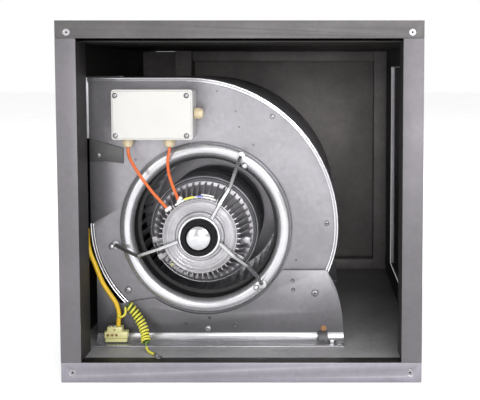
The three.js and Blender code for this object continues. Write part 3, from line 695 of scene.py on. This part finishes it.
def frame_rivets():
    """Flush rivets in the front frame's corners, each with a hollow middle."""
    for corner in ("bottom_left", "bottom_right", "top_left", "top_right"):
        node = "corner_rivet_" + corner
        low, high = box_mm(node)
        reach = high.y - low.y
        head = [(1.4, 0), (2.2, 0), (4.2, 0.05), (4.2, 0.6), (2.4, 1.3), (2.4, reach), (1.4, reach)]
        place = move((low.x + high.x) / 2, low.y, (low.z + high.z) / 2)
        add_piece(node + "_rim", placed(lathe(node, head, 48), place), "cast_aluminium", replaces=[node])
        # Painted shade: the mandrel in each rivet's hollow is near-black rubber, for the shade in the hole.
        mandrel = [(0, 0.9), (1.3, 0.9), (1.3, reach - 0.5), (0, reach - 0.5)]
        core = placed(lathe(node + "_mandrel", mandrel, 24), place)
        add_piece(node + "_mandrel", core, "rubber")


# ---- scroll casing


def scroll_line(inset, last_angle=-180):
    """The scroll's outer line moved inwards, as points (x, z) in millimetres from the axis."""
    low, high = local_box("scroll_side_front")
    top, right, corner, lower = high.z, high.x, -low.z, -low.x
    return [
        (low.x, top - inset),
        *arc(right - top, 0, top - inset, 90, 0, 60),
        *arc(right - corner, 0, corner - inset, 0, -90, 48),
        *arc(0, lower - corner, lower - inset, -90, last_angle, 48),
    ]


def seam_bead(inset, y, radius, start=None):
    line = scroll_line(inset)
    if start is not None:
        line[0] = (start, line[0][1])
    return swept("seam_bead", path_of(line, y), round_section(radius, 10))


def scroll():
    for side, outward in (("front", -1), ("rear", 1)):
        carried(f"scroll_side_{side}", "galvanised", 0.6)
        low, high = local_box(f"scroll_side_{side}")
        face = low.y if outward < 0 else high.y
        beads = [seam_bead(1.5, face, 1.3), seam_bead(5.2, face, 1.1, start=-26)]
        add_piece(f"scroll_seam_{side}", placed(joined("seam", beads), at_axis()), "bright_sheet")
        inlet_ring(side, outward)
        support = carried(f"support_plate_{side}", "galvanised", 0.7)
        paint_foot_highlight(support, side)
    carried("scroll_wrap", "galvanised", 0.3)
    # Painted shade: the cut-off plate and its tab get the dark sheet.
    carried("cutoff_plate", "dark_sheet")
    carried("cutoff_tab", "dark_sheet", 0.4)


def paint_foot_highlight(support, side):
    """The bent foot of a support plate gets the lighter bell sheet: a painted highlight on the bend and the
    foot.
    """
    foot_height = 13.5
    foot_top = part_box(f"support_plate_{side}")[0].z + foot_height * MM
    # Painted highlight on the foot's faces.
    repainted(support.data, "bell", lambda face: face.center.z < foot_top)


def inlet_ring(side, outward):
    """The bell mouth: a rolled outer edge, a round crest and a straight throat."""
    node = f"inlet_ring_{side}"
    plate_low, plate_high = local_box(f"scroll_side_{side}")
    base = plate_low.y + 3.5 if outward < 0 else plate_high.y - 3.5
    crest, half_width, height, wall, throat = 117, 10, 9, 0.6, 16
    steps = 20

    def bow(offset):
        turns = [math.pi * i / steps for i in range(steps + 1)]
        wide, high = half_width + offset, height + offset
        return [(crest + wide * math.cos(t), 1.2 + high * math.sin(t)) for t in turns]

    radius = crest - half_width - 1
    profile = [*bow(wall), (radius - wall, -throat), (radius + wall, -throat), *reversed(bow(-wall))]
    turned = [(r, base + outward * y) for r, y in profile]
    bell = add_piece(node + "_bell", placed(lathe(node, turned, 144), at_axis()), "bell", replaces=[node])
    throat_start = (base + outward * 0.5) * MM * outward
    repainted(bell.data, "shadowed", lambda face: face.center.y * outward < throat_start)
    # Painted shadow: a thin dark ring along the bell's outer edge, in the gap where it meets the side
    # plate.
    edge = path_of(circle(0, 0, crest + half_width + 0.2, 120), base + outward * 1.4)
    gap_shadow = swept("gap_shadow", edge, round_section(0.7, 10), closed=True)
    add_piece(f"inlet_gap_shadow_{side}", placed(gap_shadow, at_axis()), "dark_sheet")


# ---- impeller


def blade_cage(node, blades=42):
    """Forward-curved blades between two rims."""
    low, high = local_box(node)
    front, back = low.y, high.y
    inner, outer, thickness, sweep, rim = 101.2, 119.8, 0.9, 0.15, 1.2
    steps = 6
    outline = []
    for side, places in ((-0.5, range(steps + 1)), (0.5, reversed(range(steps + 1)))):
        for t in (i / steps for i in places):
            radius = inner + t * (outer - inner)
            angle = sweep * t * t + side * thickness / radius
            outline.append((radius * math.cos(angle), radius * math.sin(angle)))
    ends = (path_of(outline, y) for y in (front + rim * 0.5, back - rim * 0.5))
    strips = set_round(prism("blade", *ends), blades)
    rims = [lathe("rim", ring_profile(101, 120, y, y + rim)) for y in (front, back - rim)]
    mesh = placed(joined(node, [*strips, *rims]), at_axis())
    add_piece(node + "_strip", mesh, "blades", IMPELLER, [node], angle=30)


def turned_copy(node, look, profile, corner, segments=96):
    """A node that is round about the fan's axis, turned again with a finer profile."""
    body = frame["nodes"][node]["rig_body"]
    mesh = placed(lathe(node, rounded(profile, corner), segments), at_axis())
    return add_piece(node + "_turned", mesh, look, body, [node])


def ring_profile(inner, outer, front, back):
    return [(inner, front), (outer, front), (outer, back), (inner, back)]


def impeller():
    blade_cage("blade_cage_front")
    blade_cage("blade_cage_rear")
    for node, inner, look in (
        ("impeller_centre_disc", 8, "galvanised"),
        ("impeller_end_ring_front", 101, "shadowed"),
        ("impeller_end_ring_rear", 101, "shadowed"),
        ("motor_rotor", 6.3, "laminations"),
    ):
        low, high = local_box(node)
        turned_copy(node, look, ring_profile(inner, -low.x, low.y, high.y), 0.3)
    low, high = local_box("impeller_hub")
    bore, neck, flange, shoulder = 6.3, 16, 28, low.y + 13
    hub = [(bore, low.y), (neck, low.y), (neck, shoulder), (flange, shoulder)]
    hub += [(flange, high.y), (bore, high.y)]
    turned_copy("impeller_hub", "cast_aluminium", hub, 0.8, 64)
    low, high = local_box("motor_shaft")
    turned_copy("motor_shaft", "steel", ring_profile(0, 6, low.y, high.y), 0.5, 48)
    grub = placed(screw(3.2, 2.2), at_axis() @ move(0, -50, 0) @ tilted(90, "X") @ move(0, -15.6, 0))
    add_piece("hub_grub_screw", grub, "steel", IMPELLER)


# ---- motor


def finned_shield(fins=48):
    """The cast front shield: a faced plate with rings turned in it, and a cone of fins."""
    node = "motor_end_shield_front"
    low, high = local_box(node)
    boss = 12
    front, back = low.y + boss, high.y
    rim, tip, hub, bore = 53.3, 72, 18, 12.5
    profile = [(bore, front - boss), (hub, front - boss), (hub, front - 0.2), (hub + 12.5, front)]
    profile += [(hub + 13, front + 1.2), (hub + 16, front + 1.4), (hub + 17, front + 0.2)]
    profile += [(rim - 5, front), (rim - 4.4, front + 0.9), (rim - 3, front + 0.9), (rim - 2.4, front)]
    profile += [(rim - 0.8, front), (rim, front + 1), (rim + 4, back - 19), (tip - 5, back - 6)]
    profile += [(tip, back - 6), (tip, back), (tip - 4, back), (tip - 9, back - 2), (rim, back - 16)]
    profile += [(rim - 4, front + 5), (hub + 3, front + 5), (hub + 3, front + 18), (bore, front + 18)]
    shell = lathe("shell", rounded(profile, 0.7, 2), 96)
    for face in shell.polygons:
        if math.hypot(face.center.x, face.center.z) > (rim + 1) * MM:
            face.material_index = 1
    parts = [shell]
    thickness = 2.2
    outline = [(rim - 1.5, front + 0.4), (rim + 4.5, front + 0.6), (tip - 0.5, back - 14)]
    outline += [(tip - 0.5, back - 2), (rim + 6, back - 4), (rim, back - 18)]
    sides = (path_of([(r, y, z) for r, y in outline]) for z in (-thickness / 2, thickness / 2))
    parts += set_round(bevelled(prism("fin", *sides), 0.45, 1), fins, 0.5)
    for angle in (-8, -33, 187, 209):
        lug = bevelled(block("lug", 15, 14, 9), 1.2)
        parts.append(placed(lug, tilted(-angle, "Y") @ move(63, front + 22, 0)))
    mesh = placed(joined(node, parts), at_axis())
    casting = add_piece("front_shield_casting", mesh, "cast_aluminium", replaces=[node])
    casting.data.materials.append(PAINTED["dark_cast"])
    add_bead("shield_rim", tip - 0.4, back - 3, 0.7, "bright_sheet")
    scuffs = [(hub + 19, 0.2), (hub + 23, 0.15), (rim - 8, 0.2)]
    for i, (radius, wire) in enumerate(scuffs):
        add_bead(f"shield_turning_{i}", radius, front, wire, "bright_sheet")


def add_bead(name, radius, y, wire, look):
    """A thin raised line round the fan's axis."""
    bead = swept(name, path_of(circle(0, 0, radius, 120), y), round_section(wire, 8), closed=True)
    add_piece(name, placed(bead, at_axis()), look)


def winding_ends():
    """The short ends of the windings along the top of the shield, and the crimps on the leads."""
    ends = (
        ("white_winding_end", 128, 66, 55.5, -232.5, 1.5, "white_sleeve"),
        ("yellow_winding_end", 112, 98, 56.5, -235.2, 1.5, "earth_lead"),
        ("blue_winding_end", 93, 85, 56.8, -235, 1.3, "blue_sleeve"),
        ("white_winding_loop", 88, 70, 58.5, -231, 1.4, "white_sleeve"),
    )
    for name, start, end, radius, y, wire, look in ends:
        line = path_of(arc(0, 0, radius, start, end, 14), y)
        add_piece(name, placed(swept(name, line, round_section(wire, 10)), at_axis()), look)
    for name, x, z, turn in (("lead_crimp_left", -44, 38.5, 55), ("lead_crimp_right", -28, 51, 25)):
        crimp = lathe(name, rounded(ring_profile(0, 3, -5, 5), 1.0), 32)
        place = at_axis() @ move(x, -231, z) @ tilted(turn, "Y") @ tilted(90, "X")
        add_piece(name, placed(crimp, place), "white_sleeve")
    tag = lathe("tag", rounded(ring_profile(0, 3.2, -3, 3), 0.8), 24)
    add_piece("shield_tag", placed(tag, at_axis() @ move(-40.8, -217, -44.4)), "block_plastic")


def motor():
    finned_shield()
    low, high = local_box("motor_can")
    front, back, radius = low.y, high.y, -low.x
    ribs = []
    for y in (front + 14, front + 34, front + 40, front + 66):
        ribs += [(radius, y), (radius - 1.6, y + 1.2), (radius - 1.6, y + 3.4), (radius, y + 4.6)]
    mouth, wall = 62, 4
    can = [(mouth, front), (66, front), (69, front), (radius - 5, front), (radius, front + 4), *ribs]
    can += [(radius, back), (radius - wall, back), (radius - wall, front + 6), (mouth, front + 6)]
    turned_copy("motor_can", "motor_can", can, 0.8)
    # Painted highlight: a light bead along the dark can's front edge.
    add_bead("can_front_edge", radius - 2.2, front + 1.2, 0.7, "cast_aluminium")
    # Raised ridges round the can in a lighter material than its enamel: painted highlight on the ridges.
    for i, (back_by, wire) in enumerate(((8, 0.5), (24, 0.6), (30, 0.4), (52, 0.6))):
        add_bead(f"can_ridge_{i}", radius - 0.4, front + back_by, wire, "dark_cast")
    winding_ends()
    low, high = local_box("motor_end_shield_rear")
    boss, bore, seat = 17, 8, 12.5
    front = low.y + 10
    rear = [(bore, front + 7), (22, front + 8), (30, front + 5.5), (60, front + 5), (77, front + 4)]
    rear += [(80, front + 2), (80, front), (boss, front), (boss, low.y), (seat, low.y)]
    rear += [(seat, front + 2), (bore, front + 2)]
    turned_copy("motor_end_shield_rear", "cast_aluminium", rear, 0.8)
    low, high = local_box("motor_stator")
    core_front, core_back, inner, outer = -165, -95, 38, -low.x
    stator = [(inner, core_front), (43, core_front), (45, low.y + 2), (55, low.y), (65, low.y + 2)]
    stator += [(67, core_front), (outer, core_front), (outer, core_back), (67, core_back), (65, high.y - 2)]
    stator += [(55, high.y), (45, high.y - 2), (43, core_back), (inner, core_back)]
    turned_copy("motor_stator", "laminations", stator, 1.0)
    for node in ("bearing_front", "bearing_rear"):
        low, high = local_box(node)
        front_half = [(6.3, 0), (8, 0), (8.4, 0.8), (10.2, 0.8), (10.6, 0), (12.2, 0)]
        race = [(r, low.y + y) for r, y in front_half]
        race += [(r, high.y - y) for r, y in reversed(front_half)]
        turned_copy(node, "steel", race, 0.2, 64)
    low, high = local_box("bearing_cap")
    radius, rise = 18, 6.5
    angles = [i * 0.11 for i in range(1, 13)]
    cap = [(0, low.y)]
    cap += [(radius * math.sin(a), low.y + rise * (1 - math.cos(a))) for a in angles]
    cap += [(radius, low.y + 5.4), (radius, high.y), (0, high.y)]
    turned_copy("bearing_cap", "dome", cap, 0.3)
    low, high = local_box("rubber_mount_ring")
    mount = ring_profile(18.3, 25.5, low.y, high.y)
    turned_copy("rubber_mount_ring", "rubber", mount, 1.8)
    low, high = local_box("motor_clamp_ring")
    clamp = [(25.8, low.y), (28.6, low.y), (30, low.y + 1.6), (30, high.y), (25.8, high.y)]
    turned_copy("motor_clamp_ring", "bright_sheet", clamp, 0.6)
    arms()


def arms():
    """Three arms, each a flat strip folded over the fins, with a pressed end and a screw."""
    routes = {
        "upper": [(17.4, -238.5, 25.5), (29.7, -239, 47.5), (41.7, -226, 67.1), (50, -197, 97)],
        "left": [(-29.9, -238.5, -6.8), (-57, -239, -17), (-91.3, -222, -31.1), (-116, -196, -28.5)],
        "lower": [(28.9, -238.5, -9.2), (48, -239, -27), (65.9, -226, -44.2), (77.5, -200, -66)],
    }
    feet = {"upper": (53.4, -187, 107), "left": (-134, -178, -26), "lower": (84, -188, -82)}
    widths = {"upper": (0.9, 0, -0.45), "left": (-0.25, 0, 1), "lower": (0.65, 0, 0.75)}
    # Painted reflection: where the left arm faces up and left, it gets the darker cast material, as a dark
    # reflection.
    shaded_from, shaded_to = AXIS.x - 128 * MM, AXIS.x - 93 * MM
    for side, points in routes.items():
        node = f"motor_arm_{side}"
        across = Vector(widths[side]).normalized()
        path = folded(path_of([*points, feet[side]]), 2.5 * MM)
        strip = swept(node, path, flat_section(5.2, 3.2, 0.8), flat_side=across)
        x, _, z = feet[side]
        place = move(x * 1.01, local_box(node)[1].y, z * 1.01)
        pad = placed(lathe("pad", rounded(ring_profile(0, 6, -2.6, 0), 0.5), 40), place)
        mesh = placed(joined(node, [strip, pad]), at_axis())
        arm = add_piece(f"{node}_strip", mesh, "steel", replaces=[node])
        # Painted dark reflection on that part of the arm.
        repainted(arm.data, "dark_cast", lambda face: shaded_from < face.center.x < shaded_to)
    for side, place, radius, drive in (
        ("upper", (59, -183.6, 93.1), 4.6, "slot"),
        ("left", (-140.1, -177.2, -28.3), 4.2, "cross"),
        ("lower", (75.1, -183.6, -88), 4.2, "cross"),
    ):
        head = placed(screw(radius, 2.6, drive), at_axis() @ move(*place))
        add_piece(f"arm_screw_{side}", head, "steel")


# ---- screws on the scroll


def disc(radius, thickness, sides):
    return lathe("disc", ring_profile(0, radius, -thickness, 0), sides)


def scroll_fasteners():
    """Screws, pips and small holes on the side plate and the support plate, from the cabinet's middle."""
    plate_y, support_y = -173.2, -179.0
    screws = {
        "side_screw_top": (39.3, plate_y, 364.5, 3.6),
        "side_screw_right": (119.5, plate_y, 205.6, 4.0),
        "side_screw_left": (-177, plate_y, 104.8, 5.2),
        "tab_screw": (-217.7, -174.8, 307.5, 3.6),
        "support_screw_right": (102.4, support_y, 101.7, 5.4),
        "support_screw_middle": (-57, support_y, 48.1, 4.8),
    }
    for name, (*place, radius) in screws.items():
        drive = "cross" if "right" in name else "slot"
        height = radius * 0.55
        add_piece(name, placed(screw(radius, height, drive), move(*place)), "cast_aluminium")
        # Painted shade in the screw's slot or cross.
        marks = placed(joined(name, drive_marks(radius, height, drive)), move(*place))
        add_piece(name + "_drive", marks, "shadowed")
    pips = [(69.2, 120.5, 2.8, support_y), (70.2, 106.9, 2.6, support_y), (-16.4, 53, 3.0, support_y)]
    pips += [(-54.7, 64.3, 1.9, support_y), (-90, 54.8, 1.9, support_y), (74, 150, 1.6, plate_y)]
    marks = [placed(dimple(r), move(x, y, z)) for x, z, r, y in pips]
    add_piece("pressed_pips", joined("pips", marks), "galvanised")
    holes = [(-42.2, 402.3, 1.7), (-14.8, 372.6, 1.6), (-9.7, 349.3, 1.6), (11.1, 322.8, 1.6)]
    holes += [(-163.3, 300.6, 2.0)]
    # Painted shade: thin dark discs stand for the small holes, where the inside is in shade.
    hole_shades = [placed(disc(r, 0.35, 20), move(x, -172.9, z)) for x, z, r in holes]
    add_piece("pilot_holes", joined("holes", hole_shades), "laminations")
    foot_hardware()


def foot_hardware():
    """The bolt on the foot, the small bent clip beside it, and the hole above the clip."""
    foot_top = box_mm("support_plate_front")[0].z + 2
    nut = lathe("nut", rounded(ring_profile(0, 5.4, -5, 0), 0.8), 6)
    bolt = [washer(8.2, 3, 1.2), placed(nut, move(0, -1.2, 0)), placed(screw(3, 1.2), move(0, -6.2, 0))]
    mesh = placed(joined("bolt", bolt), move(127.6, -192.5, foot_top) @ tilted(-90, "X"))
    add_piece("foot_bolt", mesh, "steel")
    bent = [(114, -179.8, 44), (114.2, -184, 42.5), (114.5, -187.5, 38.5), (114.6, -188.6, 33.5)]
    strip = flat_section(14, 1.2)
    clip = swept("clip", smooth_path(path_of(bent), 5), strip, flat_side=Vector((1, 0, 0)))
    add_piece("foot_clip", clip, "dark_sheet")
    add_piece("support_hole", placed(disc(4.2, 0.4, 24), move(115.4, -179.05, 48.5)), "bronze")


# ---- junction box


def rounded_rectangle(left, right, low, high, corner, steps=6):
    return [
        *arc(right - corner, low + corner, corner, -90, 0, steps),
        *arc(right - corner, high - corner, corner, 0, 90, steps),
        *arc(left + corner, high - corner, corner, 90, 180, steps),
        *arc(left + corner, low + corner, corner, 180, 270, steps),
    ]


def junction_box():
    carried("junction_box_base", "box_plastic", 0.5)
    low, high = box_mm("junction_box_lid")
    inset = 2.2
    skirt = plate("lid", rounded_rectangle(low.x, high.x, low.z, high.z, 4), low.y + 1.4, high.y, 0.8)
    outline = rounded_rectangle(low.x + inset, high.x - inset, low.z + inset, high.z - inset, 3)
    face = plate("face", outline, low.y, low.y + 3, 0.9)
    sockets, heads = [], []
    for x in (low.x + 5.6, high.x - 8.6):
        for z in (low.z + 6, high.z - 8.6):
            socket = lathe("socket", ring_profile(0, 3.9, -3, 6), 32)
            sockets.append(placed(socket, move(x, low.y, z)))
            heads.append(placed(screw(3.3, 1.6), move(x, low.y + 2.2, z)))
    lid = carved(joined("lid", [skirt]), [m.copy() for m in sockets])
    face = carved(face, sockets)
    add_piece("box_lid_shell", joined("lid", [lid, face]), "box_plastic", replaces=["junction_box_lid"])
    add_piece("box_lid_screws", joined("lid_screws", heads), "cast_aluminium")
    for side in ("left", "right", "supply"):
        gland(side)
    carried("terminal_strip", "gland_plastic", 0.8)
    low, high = box_mm("run_capacitor")
    middle = (low + high) / 2
    reach = high.x - middle.x
    can = rounded(ring_profile(0, (high.z - low.z) / 2, -reach, reach), 1.5)
    mesh = placed(lathe("capacitor", can, 48), move(*middle) @ tilted(-90, "Z"))
    add_piece("run_capacitor_can", mesh, "capacitor", replaces=["run_capacitor"])


def gland(side):
    """A cable gland: a ribbed dome nut outside the wall, and a lock nut inside."""
    node = "cable_gland_" + side
    low, high = box_mm(node)
    middle = (low + high) / 2
    bore, outer, neck, ribs = 3, 8, 5.8, 12
    dome = [(bore, 0), (5, 0), (6.6, 1.2), (7.4, 3.2), (7.8, 6), (outer, 12.6), (neck, 12.6)]
    dome += [(neck, 16.2), (outer, 16.2), (outer, 20), (bore, 20)]
    parts = [lathe("dome", rounded(dome, 0.5, 2), 48)]
    rib = placed(bevelled(block("rib", 0.9, 6.6, 1.7), 0.3), move(7.75, 8.6, 0))
    parts += set_round(rib, ribs)
    if side == "supply":
        place = move(high.x, middle.y, middle.z) @ tilted(90, "Z")
    else:
        place = move(middle.x, middle.y, low.z) @ tilted(90, "X")
    add_piece(node + "_body", placed(joined(node, parts), place), "gland_plastic", replaces=[node])


# ---- wiring


def lead(name, points, radius, look, node):
    path = smooth_path(path_of(points))
    piece = add_piece(name, swept(name, path, round_section(radius, 14)), look, replaces=[node])
    round(length_of(path), 3)


def wiring():
    left = [(-170, -189.9, 320.9), (-169.6, -190.5, 312), (-164.5, -196, 301.5), (-150, -205, 282)]
    left += [(-130.6, -216, 260.5), (-115, -225, 246.2), (-105.5, -231, 238)]
    right = [(-109.5, -189.9, 320.9), (-110.6, -190.5, 312), (-111.5, -195, 301), (-108.3, -205, 285)]
    right += [(-101, -216, 269), (-93.6, -226, 256.5), (-89.8, -231, 250.6)]
    lead("orange_lead_left", left, 2.3, "orange_lead", "motor_lead_left")
    lead("orange_lead_right", right, 2.3, "orange_lead", "motor_lead_right")
    earth = [(-236.5, -168, 196), (-235.5, -176, 182), (-230, -184, 164.5), (-222, -186, 146)]
    earth += [(-212, -187, 121.5), (-203.5, -187, 107), (-192, -187.5, 89.5), (-187.5, -188, 74)]
    earth += [(-188, -188.3, 64), (-188.5, -188.5, 55.6)]
    lead("yellow_earth_lead", earth, 3.3, "yellow_lead", "earth_lead")
    spiral_lead()
    terminals()


def eased(route, join, reach, passes):
    """The route with the bend round one of its points spread over its neighbours."""
    for n in range(passes):
        before = list(route)
        span = reach - reach * n // passes
        for i in range(max(1, join - span), min(len(route) - 1, join + span)):
            route[i] = (before[i - 1] + before[i] * 2 + before[i + 1]) / 4
    return route


def spiral_lead():
    """The curly earth lead: a branch beside the yellow lead, its turns, and a tail on the floor."""
    coil = [(-176.8, -189, 90.5), (-166.3, -190, 80), (-158.8, -192, 70.2), (-152.5, -195, 60.7)]
    coil += [(-147.6, -200, 51.6), (-144.4, -206.5, 43.6), (-142.4, -212.5, 37.6)]
    tail = [(-141.2, -216, 34), (-138.5, -221, 31.4), (-134, -226.5, 30.3), (-129, -231.5, 30.2)]
    tail += [(-125, -235.5, 30.2)]
    branch = [(-187.5, -191.5, 72.5), (-183, -193.5, 70.5), (-177, -194, 75), (-176.5, -193, 84)]
    wire, turns, helix, narrowed, end_steps = 1.7, 13.5, 5.3, 0.45, 9
    spine = smooth_path(path_of(coil), 34)
    last = len(spine) - 1
    coiled = []
    for i, (point, tangent, side) in enumerate(zip(spine, *section_frames(spine))):
        turn = 2 * math.pi * turns * i / last
        widening = min(1.0, i / end_steps, (last - i) / end_steps)
        offset = side * math.cos(turn) + tangent.cross(side) * math.sin(turn)
        coiled.append(point + offset * helix * MM * (narrowed + (1 - narrowed) * widening))
    branch, tail = path_of(branch), path_of(tail)
    steps = [(b - a).normalized() for a, b in zip(coiled, coiled[1:])]

    def agreement(k, way):
        """How well the coil's direction at its point k agrees with the way to or from it."""
        return steps[k].dot(way.normalized())

    first = max(range(2, 18), key=lambda k: agreement(k, coiled[k] - branch[-1]))
    final = max(range(last - 18, last - 2), key=lambda k: agreement(k, tail[0] - coiled[k]))
    route = smooth_path([*branch, coiled[first]], 5)[:-1]
    joins = [len(route), len(route) + final - first]
    route += coiled[first:final]
    route += smooth_path([coiled[final], *tail], 6)
    for join in joins:
        route = eased(route, join, 8, 8)
    mesh = swept("spiral", route, round_section(wire, 12))
    piece = add_piece("spiral_earth_lead", mesh, "earth_lead", replaces=["earth_coil"])
    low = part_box("earth_coil")[0]
    stripe_reach = (helix + 0.35) * MM

    def striped(face):
        nearest = min((face.center - p).length for p in spine)
        return nearest < stripe_reach and face.center.z > low.z

    repainted(mesh, "earth_stripe", striped)
    tuple(route[0])
    round(length_of(route), 3)
    [tuple(p) for p in route]
    carried("earth_ring_terminal", "steel", 0.25)


def terminals():
    """The earth terminal block with its clamp screws."""
    carried("earth_terminal_block", "block_plastic", 0.9)
    low, high = box_mm("earth_terminal_block")
    middle = (low.y + high.y) / 2
    up = tilted(-90, "X")
    heads = [placed(screw(2.6, 1.4, "slot"), move(x, middle, high.z) @ up) for x in (-199, -193.5)]
    add_piece("block_screws", joined("block_screws", heads), "steel")
    ports = [
        placed(lathe("port", ring_profile(0, r, -0.25, 0.4), 24), move(x, low.y, z))
        for x, z, r in ((-203, 43, 1.9), (-196.5, 43, 1.9), (-190, 43, 1.9), (-193, 51.2, 1.5))
    ]
    add_piece("block_ports", joined("ports", ports), "bronze")
    outline = rounded_rectangle(-207, -175, low.z - 5.6, low.z - 0.6, 1.5)
    add_piece("block_tray", plate("tray", outline, low.y + 0.5, low.y + 6, 0.5), "block_plastic")


# ---- the room


def pale_surface():
    n = Nodes("pale_floor")
    tone = n.ramp(n.noise(3, 3), [(0.3, (0.93, 0.93, 0.93)), (0.7, (0.96, 0.96, 0.96))])
    return n.surface(tone, 0.65)


def room():
    """A pale floor, a white surround and soft lights."""
    reach = 14
    corners = [(-reach, -reach, 0), (reach, -reach, 0), (reach, reach, 0), (-reach, reach, 0)]
    mesh = bpy.data.meshes.new("floor")
    mesh.from_pydata(corners, [], [(0, 1, 2, 3)])
    mesh.materials.append(pale_surface())
    in_scene("floor", mesh)

    world = bpy.data.worlds.new("studio")
    world.use_nodes = True
    background = world.node_tree.nodes["Background"]
    background.inputs["Color"].default_value = (1, 1, 1, 1)
    background.inputs["Strength"].default_value = 1.0
    bpy.context.scene.world = world
    area_light("key", (1.3, -2.4, 1.5), (0, 0, 0.25), 1.4, 36)
    area_light("fill", (-1.6, -2.2, 0.8), (0, 0, 0.25), 1.4, 14)
    area_light("front", (0.25, -2.7, 0.75), (0, 0, 0.2), 0.9, 28)
    area_light("high", (0, 0.6, 3.2), (0, 0, 0), 3.5, 60)


def area_light(name, place, target, size, power):
    light = bpy.data.lights.new(name, "AREA")
    light.size = size
    light.energy = power
    lamp = in_scene(name, light)
    lamp.location = place
    lamp.rotation_euler = (Vector(target) - Vector(place)).to_track_quat("-Z", "Y").to_euler()


def camera():
    lens = bpy.data.cameras.new("camera")
    lens.sensor_width = 36
    lens.lens = 55.3
    lens.shift_x = -0.15
    lens.shift_y = -0.179
    eye = in_scene("camera", lens)
    eye.location = (0.098, -1.26, 0.431)
    tilt = math.radians(3.3)
    eye.rotation_euler = (math.pi / 2 - tilt, 0, 0)
    bpy.context.scene.camera = eye


bpy.context.scene.view_settings.view_transform = "Standard"
camera()
wiring()
cabinet()
scroll()
impeller()
motor()
scroll_fasteners()
junction_box()
room()
